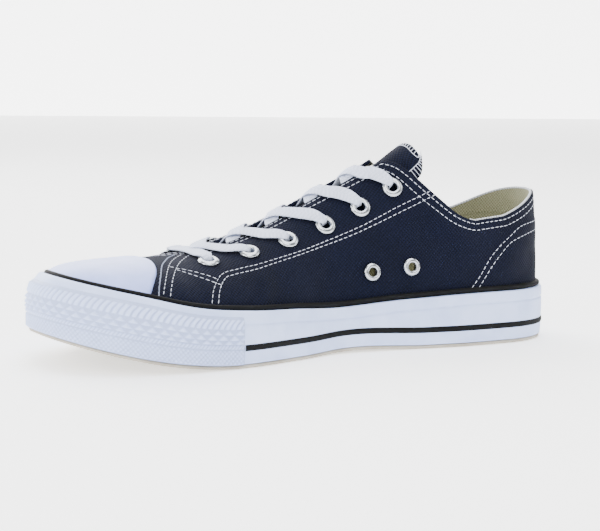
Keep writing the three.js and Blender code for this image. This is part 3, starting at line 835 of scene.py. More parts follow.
def make_bead():
    """The black bead that lies on the foxing's upper edge."""
    at, side = whole_loop(LOOP_COUNT + 60)
    per_mm = rise_per_mm(at, foxing_rise(at))
    foot = foxing_rise(at) + GAP * per_mm * 0.6
    rows = [on_last(at, side, foot, 0.1)]
    for turn in np.linspace(0, np.pi, 13):
        rise = foot + per_mm * BEAD_HEIGHT * (1 - math.cos(turn)) / 2
        rows.append(on_last(at, side, rise, GAP + BEAD_OUT * math.sin(turn) ** 0.75))
    bm = bmesh.new()
    grid_mesh(bm, np.stack(rows, axis=1))
    materials = [Finishes.get("black")]
    return finish_mesh(bm, "foxing_top_bead", materials, ["foxing_bead"])


# Bands of the bumper's relief, as shares of its height from the top
Band = namedtuple("Band", "top bottom depth pitch")
RIB_BAND = Band(0.05, 0.24, 0.8, 3.0)
PYRAMID_BAND = Band(0.25, 0.54, 1.15, 5.8)
ROPE_BAND = Band(0.555, 0.645, 0.7, 1.8)
KNURL_BAND = Band(0.665, 0.98, 0.65, 2.2)
PYRAMID_ROWS = 3
BAND_EDGE = 0.35  # a band's pattern fades in over this width
BUMPER_BASE = 0.7  # depth of the pattern's floor under the bumper's face
BUMPER_ROUND = 0.7
BUMPER_END = 1.2  # width over which the strip thins at both ends


def bumper_relief(along, share, height):
    """How far the bumper's moulded pattern stands out, in millimetres."""
    down = share * height

    def within(band):
        edge = np.minimum(share - band.top, band.bottom - share) * height
        return smoothstep(edge / BAND_EDGE)

    ribs = 0.5 + 0.5 * np.sin(2 * np.pi * (along - 2.0 * down + 0.16 * down**2) / RIB_BAND.pitch)
    row = (share - PYRAMID_BAND.top) / (PYRAMID_BAND.bottom - PYRAMID_BAND.top) * PYRAMID_ROWS
    in_row = np.mod(row, 1)
    column_shift = np.mod(np.floor(row), 2) / 2
    in_column = np.abs(2 * np.mod(along / PYRAMID_BAND.pitch + column_shift, 1) - 1)
    pyramids = np.clip(1.5 * (in_row - in_column), 0, 1)
    rope = 0.5 + 0.5 * np.sin(2 * np.pi * (along - 0.9 * down) / ROPE_BAND.pitch)
    knurl = np.abs(np.sin(np.pi * (along + down) / KNURL_BAND.pitch))
    knurl = knurl * np.abs(np.sin(np.pi * (along - down) / KNURL_BAND.pitch))
    return (
        RIB_BAND.depth * within(RIB_BAND) * smoothstep(ribs * 1.3)
        + PYRAMID_BAND.depth * within(PYRAMID_BAND) * pyramids
        + ROPE_BAND.depth * within(ROPE_BAND) * rope
        + KNURL_BAND.depth * within(KNURL_BAND) * knurl
    )


def make_bumper():
    """The patterned strip round the toe, whose UV map holds the relief's height for its material."""
    turn = np.linspace(0, np.pi, 4001)
    at = BUMPER_START + (1 - BUMPER_START) * np.sin(turn)
    side = np.where(turn < np.pi / 2, 1.0, -1.0)
    inner = GAP + FOXING + GAP / 2
    outer = GAP + FOXING + GAP + BUMPER
    half_way = (ground(at) + section("foxing", at)) / 2
    run = arc_lengths(wall_point(at, side, half_way, outer))
    along = np.linspace(0, run[-1], 560)
    turn = np.interp(along, run, turn)
    at = BUMPER_START + (1 - BUMPER_START) * np.sin(turn)
    side = np.where(turn < np.pi / 2, 1.0, -1.0)
    low = ground(at) + TREAD + GAP
    top = section("foxing", at) - BUMPER_DROP
    ends = smoothstep(np.minimum(along, run[-1] - along) / BUMPER_END)
    rows = [wall_point(at, side, top, inner)]
    reliefs = [np.ones(len(at))]
    for share in np.linspace(0, 1, 58):
        height = top + (low - top) * share
        edge = np.minimum(share, 1 - share) * (top - low)
        corner = 0.5 * (1 - smoothstep(edge / BUMPER_ROUND))
        relief = bumper_relief(along, share, top - low) * ends
        thin = 0.35 * (1 - ends) + corner
        rows.append(wall_point(at, side, height, outer - BUMPER_BASE - thin + relief))
        reliefs.append(relief)
    rows.append(wall_point(at, side, low, inner))
    reliefs.append(np.ones(len(at)))
    points = np.stack(rows, axis=1)
    along_strip = np.broadcast_to(along[:, None], points.shape[:2])
    uv = np.stack([along_strip, np.stack(reliefs, axis=1)], axis=-1)
    uv = np.concatenate([uv[:1], uv, uv[-1:]])
    for end in (0, -1):
        tucked = np.stack([wall_point(at[end], side[end], p[2], inner) for p in points[end]])
        points = np.concatenate([tucked[None], points] if end == 0 else [points, tucked[None]])
    bm = bmesh.new()
    grid_mesh(bm, points, uv)
    return finish_mesh(bm, "toe_bumper_strip", [Finishes.get("bumper")], ["toe_bumper"])


CAP_ROLL = 1.7  # width of the cap's rounded rear edge
CAP_SEAT = 0.15  # height of that edge's foot over the canvas


def from_cap_centre(points):
    """Distance in plan from the centre of the cap's round rear edge."""
    return np.hypot(points[..., 0] - CAP_EDGE.x, points[..., 1] - CAP_EDGE.y)


def over_foxing(at, height, shares):
    """Rises from a height over the foxing's edge up to the ridge."""
    foot = foxing_rise(at) + height * rise_per_mm(at, foxing_rise(at))
    return foot + (1 - foot) * shares


def cap_rear(side, shares):
    """Where the cap's round rear edge crosses each row, found by halving."""
    low, high = np.full(len(shares), 0.72), np.full(len(shares), 0.99)
    for _ in range(26):
        rear = (low + high) / 2
        point = last_point(rear, side, over_foxing(rear, BEAD_HEIGHT + GAP, shares))
        outside = from_cap_centre(point) > CAP_EDGE.radius
        low, high = np.where(outside, rear, low), np.where(outside, high, rear)
    return rear


def make_toe_cap():
    """The cap's face rolls down to the canvas along its round rear edge and along the bead."""
    bm = bmesh.new()
    shares = 1 - (1 - np.linspace(0, 1, 60)) ** 1.4
    steps = np.concatenate([np.linspace(0, 0.06, 9)[:-1], 1 - (1 - np.linspace(0.06, 1, 90)) ** 1.5])
    for side in (1, -1):
        rear = cap_rear(side, shares)
        at = rear[None] + (1 - rear[None]) * np.clip(steps, 0, 1)[:, None]
        rise = over_foxing(at, BEAD_HEIGHT * 0.75, shares[None])
        inside = CAP_EDGE.radius - from_cap_centre(last_point(at, side, rise))
        roll = quarter_round(inside / CAP_ROLL)
        grid_mesh(bm, on_last(at, side, rise, CAP_SEAT + (GAP + CAP - CAP_SEAT) * roll))
    return finish_mesh(bm, "toe_cap_shell", [Finishes.get("cap")], ["toe_cap"], weld=0.05)


RIM_SINK = 0.5  # the insole's rim is rolled down by this much


def make_insole():
    """The sock on its foam: a shallow dish with a rolled rim."""
    at = stations(140)
    inset = -CANVAS - 2 * GAP
    edges = [on_last(at, side, 0, inset) for side in (1, -1)]
    across = np.linspace(0, 1, 40)
    top = edges[0][:, None] + (edges[1] - edges[0])[:, None] * across[None, :, None]
    board = section("board", at)[:, None]
    bowl = (2 * across[None] - 1) ** 4
    top[..., 2] = board + INSOLE - INSOLE_DISH * (1 - bowl) - RIM_SINK * bowl**8
    rim = np.stack([np.concatenate([edges[0], edges[1][::-1][1:]])] * 2, axis=1)
    rim_board = np.concatenate([board[:, 0], board[::-1][1:, 0]])
    rim[:, 0, 2] = rim_board + INSOLE - RIM_SINK
    rim[:, 1, 2] = rim_board
    bm = bmesh.new()
    grid_mesh(bm, top, top[..., :2])
    grid_mesh(bm, rim, rim[..., [0, 2]])
    return finish_mesh(bm, "insole_sock", [Finishes.get("lining")], ["insole"])


# ---------------------------------------------------------------------------------------------
# Seam lines, given on the medial side and mirrored to the lateral side

Seam = namedtuple("Seam", "view points")
FACING_SEAMS = (
    Seam("side", ((-61, 77), (-44.3, 69.7), (-22.5, 59.8), (-0.5, 52.5), (23.3, 47), (46, 43.2),
                  (54.4, 41.9), (59.6, 39.7), (64.9, 35.1), (67.9, 29.5))),
    Seam("side", ((-63.5, 75.3), (-38.4, 64.2), (-16.8, 55.6), (6.1, 49.3), (35.8, 43.1), (50, 41),
                  (56.1, 39.6), (61.6, 35), (64.6, 29.3))),
)
VAMP_SEAMS = (
    Seam("side", ((78.4, 44.4), (70.7, 42.9), (63, 40.6), (60.4, 39.3))),
    Seam("side", ((76.9, 43.5), (68.2, 40.4), (59.3, 36.9))),
)
FRONT_SEAMS = (
    Seam("plan", ((61, 0.3), (66, 3.5), (72, 9), (78.2, 17.3), (86.5, 31), (90.7, 37.6))),
    Seam("plan", ((57.5, 2), (62, 6.5), (68, 11.5), (74.2, 18.5), (81, 28.2), (87.8, 38.8))),
)
FRONT_FOLD = Seam(
    "plan", ((67, 0.3), (72, 4), (76.5, 9.5), (81.2, 16), (87.2, 27), (91.9, 35.2), (93.5, 38.5))
)
COUNTER_SEAMS = (
    Seam("side", ((-81.1, 28.3), (-86.5, 34.6), (-92.8, 43.1), (-99.2, 49.1), (-105.9, 53.9),
                  (-113.2, 58.3), (-123, 60), (-133, 60.5))),
    Seam("side", ((-85.4, 28.1), (-92.8, 37.8), (-99.2, 44.6), (-105.8, 50.3), (-113, 53),
                  (-123, 55.2), (-133, 56))),
)
SEAMS = (*FACING_SEAMS, *VAMP_SEAMS, *FRONT_SEAMS, *COUNTER_SEAMS)
OVERLAY = 0.4  # a folded edge stands this far above the cloth under it
OVERLAY_LAP = 1.2  # from the stitch row to the folded edge
OVERLAY_STEP = 0.9  # width of the step down from a folded edge
# A stitch row draws the cloth down: depth and half width of the trough
StitchTrough = namedtuple("StitchTrough", "depth width")
STITCH_TROUGH = StitchTrough(0.2, 0.75)
STITCH_SINK = 0.12

# Soft troughs and ridges in the cloth, in the side view: both ends, half width and height
Crease = namedtuple("Crease", "x1 z1 x2 z2 width height")
CREASES = (
    Crease(48, 26, 40, 37, 3.2, -0.55),
    Crease(41, 25, 33, 38, 3.0, 0.45),
    Crease(34, 25, 27, 36, 3.4, -0.45),
    Crease(73, 29, 70, 39, 3.0, -0.5),
    Crease(81, 31, 79, 40, 2.8, 0.4),
    Crease(8, 26, -4, 42, 5.0, -0.5),
    Crease(-52, 60, -74, 44, 5.5, -0.6),
    Crease(-60, 66, -82, 52, 4.5, 0.45),
    Crease(-92, 30, -108, 44, 5.0, 0.5),
    Crease(-108, 27, -122, 40, 5.0, -0.55),
    Crease(-118, 45, -131, 48, 4.0, -0.45),
    Crease(-30, 30, -56, 33, 6.0, 0.4),
    Crease(-18, 36, -34, 52, 5.0, -0.4),
    Crease(40, 44, 28, 50, 3.0, -0.35),
    Crease(12, 50, 4, 57, 3.0, -0.3),
)


ROUND_HEEL = -130  # a seam whose last point is behind this goes on round the heel
LATERAL_CREASES = 0.8  # the lateral side's creases are this much as deep
CREASE_BOW = 0.6  # a crease bows down by this much in its middle
CREASE_FADE = 0.3  # share of its length over which a crease fades out, past the middle part


def crease_height(crease, x, z):
    """The height that a bowed crease adds at points seen from the side."""
    run = np.array([crease.x2 - crease.x1, crease.z2 - crease.z1])
    share = ((x - crease.x1) * run[0] + (z - crease.z1) * run[1]) / np.hypot(*run) ** 2
    nearest = np.clip(share, 0, 1)
    bow = CREASE_BOW * np.sin(np.pi * nearest)
    away = np.hypot(x - crease.x1 - nearest * run[0], z - crease.z1 - nearest * run[1] + bow)
    past = np.clip(np.abs(share - 0.5) - 0.3, 0, None)
    fade = np.exp(-((past / CREASE_FADE) ** 2))
    return crease.height * fade * np.exp(-((away / crease.width) ** 2))


def seam_places(seam, side):
    """(at, rise) along a seam, evenly fine; one that reaches the heel goes on round it, level."""
    line = smooth_line(seam.points, 16)
    target = np.zeros((len(line), 3))
    target[:, 0] = line[:, 0]
    if seam.view == "side":
        target[:, 2] = line[:, 1]
        at, rise = find_place(target, side, (0, 2))
        if line[-1, 0] > ROUND_HEEL:
            return at, rise
        onward = np.linspace(math.sqrt(at[-1]), 0.002, 24)[1:] ** 2
        level = last_point(at[-1:], side, rise[-1:])[0, 2]
        return np.append(at, onward), np.append(rise, rise_at(onward, level))
    middle = section("middle", (line[:, 0] - HEEL_X) / LAST_LENGTH)
    target[:, 1] = middle + side * line[:, 1]
    return find_place(target, side, (0, 1))


def seam_line(seam, side):
    """A seam's points on the last with their normals."""
    at, rise = seam_places(seam, side)
    return last_point(at, side, rise), last_normal(at, side, rise)


def signed_distance(points, line, normals, block=4000):
    """Distance from a line on the surface, positive to the line's left as seen from outside."""
    flat = points.reshape(-1, 3)
    tangents = np.gradient(line, axis=0)
    left = np.cross(normals, tangents)
    left /= np.linalg.norm(left, axis=1, keepdims=True)
    result = np.empty(len(flat))
    for start in range(0, len(flat), block):
        part = flat[start : start + block]
        gap = part[:, None] - line[None]
        nearest = np.argmin((gap**2).sum(-1), axis=1)
        away = gap[np.arange(len(part)), nearest]
        sign = np.sign((away * left[nearest]).sum(-1))
        result[start : start + block] = sign * np.linalg.norm(away, axis=1)
    return result.reshape(points.shape[:-1])


def eyelet_places(side):
    """(at, rise, make) of each eyelet on a side."""
    places = []
    for row in EYELET_ROWS:
        at = np.array([row.at])
        places.append((at, rise_out(at, row.out), EYELET))
    if side > 0:
        for row in VENTS:
            at = np.array([row.at])
            places.append((at, rise_at(at, row.height), VENT))
    return places


class ClothRelief:
    """Height of the cloth's face over the last: overlays, stitch rows and creases."""

    def __init__(self, side):
        self.side = side
        self.facing = seam_line(FACING_SEAMS[1], side)
        self.fold = seam_line(FRONT_FOLD, side)
        self.counter = seam_line(COUNTER_SEAMS[0], side)
        self.rows = [seam_line(seam, side) for seam in SEAMS]

    def overlays(self, points):
        side = self.side
        facing = side * signed_distance(points, *self.facing)
        fold = side * signed_distance(points, *self.fold)
        counter = side * signed_distance(points, *self.counter)
        over_facing = smoothstep((OVERLAY_LAP - facing) / OVERLAY_STEP + 0.5)
        in_front = smoothstep(-fold / OVERLAY_STEP + 0.5)
        over_counter = smoothstep((OVERLAY_LAP - counter) / OVERLAY_STEP + 0.5)
        return OVERLAY * np.maximum(over_facing * in_front, over_counter)

    def __call__(self, points):
        height = self.overlays(points)
        for line, normals in self.rows:
            away = np.abs(signed_distance(points, line, normals))
            height = height - STITCH_TROUGH.depth * np.exp(-((away / STITCH_TROUGH.width) ** 2))
        strength = 1 if self.side > 0 else LATERAL_CREASES
        for crease in CREASES:
            height = height + strength * crease_height(crease, points[..., 0], points[..., 2])
        return height


UPPER_STATIONS = 250
UPPER_ROWS = 84
BOARD_FADE = 6  # the relief grows from nothing over this distance up from the board


def upper_places(side):
    """Evenly spaced rows from the board up to the upper's edge at each station."""
    at = stations(UPPER_STATIONS, (THROAT_TO,))
    top = np.minimum(edge_rise(at, side), 1)
    shares = np.linspace(0, 1, 120)
    rise = top[:, None] * shares[None]
    run = arc_lengths(last_point(at[:, None], side, rise))
    even = np.linspace(0, 1, UPPER_ROWS)
    rise = np.stack([np.interp(even * r[-1], r, line) for r, line in zip(run, rise)])
    at = np.broadcast_to(at[:, None], rise.shape)
    points = last_point(at, side, rise)
    height = arc_lengths(points)
    middle = points[:, UPPER_ROWS // 3]
    along = np.broadcast_to(arc_lengths(middle)[:, None], rise.shape)
    return at, rise, np.stack([along, height], axis=-1)


def open_hole(bm, centre, normal, radius):
    """Takes out the faces under an eyelet and draws the hole's rim into a round."""
    centre = Vector(centre) * MM
    normal = Vector(normal)
    reach = radius * MM
    gone = []
    for face in bm.faces:
        offset = face.calc_center_median() - centre
        if offset.length < reach * 1.6 and (offset - normal * offset.dot(normal)).length < reach:
            gone.append(face)
    rim = {v for face in gone for v in face.verts if any(f not in gone for f in v.link_faces)}
    bmesh.ops.delete(bm, geom=gone, context="FACES")
    for vert in rim:
        offset = vert.co - centre
        height = normal * offset.dot(normal)
        flat = offset - height
        vert.co = centre + height + flat.normalized() * reach


def make_upper():
    """The canvas with its overlays, creases and holes, walled inwards by its lining."""
    bm = bmesh.new()
    for side in (1, -1):
        at, rise, uv = upper_places(side)
        base = last_point(at, side, rise)
        relief = ClothRelief(side)(base)
        at_tip = np.minimum(at, 1 - at) < 1e-6
        relief = np.where(at_tip, 0, relief) * smoothstep(arc_lengths(base) / BOARD_FADE)
        points = base + last_normal(at, side, rise) * relief[..., None]
        if side < 0:
            points, uv = points[::-1], uv[::-1]
        grid_mesh(bm, points, uv)
    bmesh.ops.remove_doubles(bm, verts=bm.verts, dist=0.03 * MM)
    for side in (1, -1):
        for at, rise, make in eyelet_places(side):
            centre = last_point(at, side, rise)[0]
            open_hole(bm, centre, last_normal(at, side, rise)[0], make.hole)
    materials = [Finishes.get("canvas"), Finishes.get("lining")]
    piece = finish_mesh(bm, "upper_canvas", materials, ["upper"])
    add_wall(piece, CANVAS)
    return piece


CORD_SQUARE = 0.75  # 1 gives a cord a round section, less a squarer one


def tube_mesh(bm, line, ups, half_wide, half_thick, sides=10, material=0):
    """A flat rounded cord along a line, with half sizes that are one number or one for each point."""
    count = len(line)
    tangents = np.gradient(line, axis=0)
    tangents /= np.linalg.norm(tangents, axis=1, keepdims=True)
    across = np.cross(ups, tangents)
    across /= np.linalg.norm(across, axis=1, keepdims=True)
    ups = np.cross(tangents, across)
    turn = np.linspace(0, 2 * np.pi, sides + 1)
    flat = np.sign(np.cos(turn)) * np.abs(np.cos(turn)) ** CORD_SQUARE
    tall = np.sign(np.sin(turn)) * np.abs(np.sin(turn)) ** CORD_SQUARE
    wide = np.broadcast_to(half_wide, count)[:, None, None]
    thick = np.broadcast_to(half_thick, count)[:, None, None]
    rings = line[:, None] + across[:, None] * wide * flat[None, :, None]
    rings = rings + ups[:, None] * thick * tall[None, :, None]
    start, end = (np.broadcast_to(rings[k].mean(0), rings[k].shape)[None] for k in (0, -1))
    rings = np.concatenate([start, rings, end])
    run = arc_lengths(line)
    run = np.concatenate([run[:1], run, run[-1:]])
    girth = flat[None] * np.concatenate([wide[:1], wide, wide[-1:]])[:, :, 0]
    uv = np.stack([np.broadcast_to(run[:, None], girth.shape), girth], axis=-1)
    grid_mesh(bm, rings, uv, material)


def stitch_row(bm, places, side, offset):
    """Small rounded stitches, one each pitch, laid along a row of (at, rise) places."""
    sizes = bpy.context.scene.sneaker_sizes
    pitch = sizes.stitch_pitch / MM
    size = Vector((sizes.stitch_long, sizes.stitch_wide, sizes.stitch_wide * 0.8)) / 2
    at, rise = places
    line = last_point(at, side, rise)
    run = arc_lengths(line)
    count = max(int(run[-1] / pitch), 1)
    middles = (np.arange(count) + 0.5) * run[-1] / count
    at_here = np.interp(middles, run, at)
    rise_here = np.interp(middles, run, rise)
    centre = last_point(at_here, side, rise_here)
    normal = last_normal(at_here, side, rise_here)
    tangent = respaced(line, run, middles + 0.5) - respaced(line, run, middles - 0.5)
    height = np.interp(middles, run, offset)
    for place, up, along, lift in zip(centre, normal, tangent, height):
        x = Vector(along).normalized()
        z = Vector(up)
        y = z.cross(x).normalized()
        z = x.cross(y)
        turn = Matrix((x, y, z)).transposed().to_4x4()
        spot = Matrix.Translation(Vector(place + up * lift) * MM)
        scale = Matrix.Diagonal((*size, 1))
        bmesh.ops.create_uvsphere(
            bm, u_segments=8, v_segments=5, radius=1.0,
            matrix=spot @ turn @ scale @ Matrix.Rotation(math.pi / 2, 4, "Y"),
        )


# The two edge rows' distances from the edge, along the collar and throat and at the top corner
EdgeRow = namedtuple("EdgeRow", "near far")
EDGE_ROWS = (EdgeRow(1.7, 2.6), EdgeRow(4.9, 6.4))
# Between two places along X the rows drift from near to far: where a drift is still nothing, and
# the length over which it grows
Drift = namedtuple("Drift", "start over")
DRIFT_IN, DRIFT_OUT = Drift(-82, 26), Drift(-24, 24)


def edge_row(side, row):
    """An edge row as one line, from the heel round the facing's top corner to the throat's end."""
    at = np.concatenate([np.linspace(0.002, 0.5, 260)[:-1] ** 2, np.linspace(0.25, 0.706, 500)])
    rise = np.minimum(edge_rise(at, side), 1)
    edge = last_point(at, side, rise)
    run = arc_lengths(edge)
    even = np.linspace(0, run[-1], 620)
    at = np.interp(even, run, at)
    rise = np.interp(even, run, rise)
    edge = last_point(at, side, rise)
    normal = last_normal(at, side, rise)
    tangent = np.gradient(edge, axis=0)
    inside = np.cross(normal, tangent) * side
    inside /= np.linalg.norm(inside, axis=1, keepdims=True)
    x = edge[:, 0]
    grow = smoothstep((x - DRIFT_IN.start) / DRIFT_IN.over)
    grow = grow * smoothstep((DRIFT_OUT.start - x) / DRIFT_OUT.over)
    amount = row.near + (row.far - row.near) * grow
    return find_place(relaxed(edge + inside * amount[:, None], 12), side)


def make_seams():
    """Every row of stitches, set on the cloth's face."""
    bm = bmesh.new()
    for side in (1, -1):
        relief = ClothRelief(side)
        rows = [seam_places(seam, side) for seam in SEAMS]
        rows += [edge_row(side, row) for row in EDGE_ROWS]
        for at, rise in rows:
            line = last_point(at, side, rise)
            stitch_row(bm, (at, rise), side, relief(line) + STITCH_SINK)
    thread = [Finishes.get("thread")]
    return finish_mesh(bm, "seam_stitches", thread, weld=0, recalculate=False)


Trim = namedtuple("Trim", "half_wide half_thick lift")
FOLD_TRIM = Trim(0.34, 0.26, 0.1)
COLLAR_TRIM = Trim(0.62, 0.62, 0.1)
COLLAR_TRIM_INSET = -1.45  # from the canvas's outer face
COLLAR_TRIM_TO = 0.2


def make_trims():
    """The vamp's pale folded edge, and the white strip along the inside of the collar's edge."""
    bm = bmesh.new()
    for side in (1, -1):
        line, normals = seam_line(FRONT_FOLD, side)
        tube_mesh(
            bm, line + normals * FOLD_TRIM.lift, normals, FOLD_TRIM.half_wide, FOLD_TRIM.half_thick,
            material=1,
        )
    at = np.linspace(0.0, COLLAR_TRIM_TO, 200)
    halves = []
    for side in (1, -1):
        rise = np.minimum(edge_rise(at, side), 1)
        halves.append(on_last(at, side, rise, COLLAR_TRIM_INSET))
    line = np.concatenate([halves[0][::-1], halves[1][1:]])
    run = arc_lengths(line)
    line = relaxed(respaced(line, run, np.linspace(0, run[-1], 260)), 6)
    ups = np.zeros(line.shape)
    ups[:, 2] = 1
    tube_mesh(bm, line + ups * COLLAR_TRIM.lift, ups, COLLAR_TRIM.half_wide, COLLAR_TRIM.half_thick)
    return finish_mesh(bm, "pale_trims", [Finishes.get("edge"), Finishes.get("fold")])


# ---------------------------------------------------------------------------------------------
# Tongue

TONGUE_SPREAD = 1.3  # over 1 puts the tongue's rows closer together at its tip
TONGUE_SINK = 0.4  # the padded face lies this much under the tongue's nominal face
TONGUE_WALL = TONGUE - 0.5
Label = namedtuple("Label", "start end half_wide proud half_long border thick")
LABEL = Label(-42.0, -18.0, 10.0, 0.35, 12.0, 1.2, 0.5)


def tongue_place(along, aside):
    """Places on the last for a share of the tongue from its front, and -1 to 1 across it."""
    start = TONGUE_ROWS[0].at + TONGUE_DIP * (1 - aside**2)
    at = start + (TONGUE_ROWS[-1].at - start) * along**TONGUE_SPREAD
    out = column(TONGUE_ROWS, "half", at) * aside
    return at, np.where(out < 0, -1, 1), rise_out(at, np.abs(out))


def tongue_point(along, aside, offset):
    """Points on the tongue, offset from its face."""
    return on_last(*tongue_place(along, aside), -CANVAS - TONGUE_LIFT + offset)


def tongue_waves(along, aside):
    """Slow waves in the tongue's padded cloth, gone at its edges."""
    wave = 0.35 * np.sin(11 * along + 2.2 * aside) + 0.25 * np.sin(23 * along - 1.5 * aside)
    return wave * (1 - aside**4) * smoothstep(along / 0.05) - TONGUE_SINK


def make_tongue():
    """The padded tongue, canvas outside and lining inside."""
    along = np.linspace(0, 1, 170) ** 1.2
    aside = np.linspace(-1, 1, 70)
    a, b = np.meshgrid(along, aside, indexing="ij")
    points = tongue_point(a, b, tongue_waves(a, b))
    uv = np.stack([arc_lengths(points.transpose(1, 0, 2)).T, arc_lengths(points)], axis=-1)
    bm = bmesh.new()
    grid_mesh(bm, points[:, ::-1], uv[:, ::-1])
    materials = [Finishes.get("canvas"), Finishes.get("lining")]
    piece = finish_mesh(bm, "tongue_canvas", materials, ["tongue"], recalculate=False)
    add_wall(piece, TONGUE_WALL)
    return piece


# The overlock: how far it runs down the tongue's sides, its pitch, its reach inwards along and
# across the tongue, and the thread's half sizes
Overlock = namedtuple("Overlock", "down pitch along across half_wide half_thick")
OVERLOCK = Overlock(0.16, 2.1, 0.045, 0.83, 0.16, 0.2)


def make_overlock():
    """White zigzag stitches over the tongue's top edge and the first part of its sides."""
    bm = bmesh.new()
    corner = np.linspace(0, 1, 60)
    left = np.stack([OVERLOCK.down * (1 - corner), -np.ones(60)], axis=1)
    top = np.stack([np.zeros(121), np.linspace(-1, 1, 121)], axis=1)[1:-1]
    right = np.stack([OVERLOCK.down * corner, np.ones(60)], axis=1)
    path = np.concatenate([left, top, right])
    edge = tongue_point(path[:, 0], path[:, 1], 0.0)
    run = arc_lengths(edge)
    path = respaced(path, run, np.arange(0, run[-1], OVERLOCK.pitch))

    def on_face(along, aside):
        return tongue_point(along, aside, tongue_waves(along, aside) + OVERLOCK.half_thick)

    along, aside = path.T
    outer = on_face(along, aside)
    inner = on_face(along + OVERLOCK.along * (1 - np.abs(aside) ** 8), aside * OVERLOCK.across)
    normal = last_normal(*tongue_place(along, aside))

    def lay(line, up, arch=0.0):
        lift = arch * np.sin(np.linspace(0, np.pi, len(line)))[:, None]
        ups = np.repeat(up[None], len(line), 0)
        tube_mesh(bm, line + up * lift, ups, OVERLOCK.half_wide, OVERLOCK.half_thick, sides=6)

    for k in range(len(path) - 1):
        lay(np.linspace(outer[k], inner[k + 1], 7), normal[k], arch=OVERLOCK.half_thick)
    for k in range(len(path) - 1):
        lay(np.linspace(inner[k], inner[k + 1], 4), normal[k])
    return finish_mesh(bm, "tongue_overlock", [Finishes.get("thread")])


def make_label():
    """A plain woven patch on the tongue's centre line, under the upper laces."""
    x = np.linspace(LABEL.start, LABEL.end, 40)
    y = np.linspace(-LABEL.half_wide, LABEL.half_wide, 30)
    a, b = np.meshgrid(x, y, indexing="ij")
    at = (a - HEEL_X) / LAST_LENGTH
    share = (at - TONGUE_ROWS[0].at) / (TONGUE_ROWS[-1].at - TONGUE_ROWS[0].at)
    along = np.clip(share, 0, 1) ** (1 / TONGUE_SPREAD)
    aside = b / column(TONGUE_ROWS, "half", at)
    offset = -CANVAS - TONGUE_LIFT + tongue_waves(along, aside) + LABEL.proud
    points = on_last(at, np.where(b < 0, -1, 1), rise_out(at, np.abs(b)), offset)
    uv = np.stack([a - (LABEL.start + LABEL.end) / 2, b], axis=-1)
    bm = bmesh.new()
    grid_mesh(bm, points[:, ::-1], uv[:, ::-1])
    piece = finish_mesh(bm, "tongue_label", [Finishes.get("label")], recalculate=False)
    add_wall(piece, LABEL.thick, lined=False)
    return piece


# ---------------------------------------------------------------------------------------------
# Eyelets

# A rolled rim's section as (share of the flange's width, height): over the top and under
RIM_TOP = (
    (0.0, 0.9), (0.08, 1.25), (0.25, 1.5), (0.45, 1.5), (0.65, 1.3), (0.85, 0.95), (0.97, 0.55),
    (1.0, 0.2),
)
RIM_LIFT = 0.25
EYELET_STEPS = 44
INNER_CURL = ((0.0, -1.9), (0.1, -2.35), (0.35, -2.65), (0.65, -2.55), (0.85, -2.2), (0.85, -2.0))


def eyelet_section(make):
    """A closed section for a spin: radius and height above the cloth's face."""
    wide = make.flange - make.bore
    inside = [(make.bore + share * wide * 0.8, height) for share, height in INNER_CURL[::-1]]
    outside = [(make.bore + share * wide, height + RIM_LIFT) for share, height in RIM_TOP]
    back = [(make.barrel + 0.1, 0.2), (make.barrel, -0.1), (make.barrel, -1.85)]
    return [*inside, *outside, *back]


def make_eyelet_set(name, node_names, places):
    """Spins the rolled section about each place's normal."""
    bm = bmesh.new()
    for at, side, rise, make in places:
        centre = last_point(at, side, rise)[0]
        normal = Vector(last_normal(at, side, rise)[0])
        turn = normal.to_track_quat("Z", "Y").to_matrix().to_4x4()
        spot = Matrix.Translation(Vector(centre) * MM) @ turn
        ring = [bm.verts.new(spot @ Vector((r * MM, 0, h * MM))) for r, h in eyelet_section(make)]
        edges = [bm.edges.new((ring[k], ring[(k + 1) % len(ring)])) for k in range(len(ring))]
        bmesh.ops.spin(
            bm, geom=[*ring, *edges], cent=spot.translation, axis=normal, angle=2 * math.pi,
            steps=EYELET_STEPS, use_merge=True, use_duplicate=False,
        )
    return finish_mesh(bm, name, [Finishes.get("metal")], node_names, weld=0.01)


def make_eyelets():
    """The six pairs that hold the lace."""
    names, places = [], []
    for word, side in (("medial", 1), ("lateral", -1)):
        for k, (at, rise, make) in enumerate(eyelet_places(side)[: len(EYELET_ROWS)]):
            names.append(f"lace_eyelet_{word}_{k + 1}")
            places.append((at, side, rise, make))
    return make_eyelet_set("lace_eyelets", names, places)


def make_vents():
    """The two eyelets low on the medial side."""
    places = [(at, 1, rise, make) for at, rise, make in eyelet_places(1)[len(EYELET_ROWS) :]]
    return make_eyelet_set("vent_eyelets", ["vent_eyelet_medial_1", "vent_eyelet_medial_2"], places)


# ---------------------------------------------------------------------------------------------
# Lace

HOLE_THICK = 1.0  # the lace's thickness where it folds up in an eyelet
HOLE_SHIFT = 0.9  # the lace enters each eyelet on the side it comes from
LACE_STEP = 0.75

# Heights of the lace's middle over the last
OVER_CLOTH = 1.15
OVER_THROAT = 0.65
CROSSING_LIFT = 1.35
UNDER_CLOTH = -2.55

# A run from one eyelet to the next: share of the way along the shoe, distance from the centre line
# (negative on the side it starts from), height above the cloth, width and whether it lies flat
LacePoint = namedtuple("LacePoint", "share out height width flat")


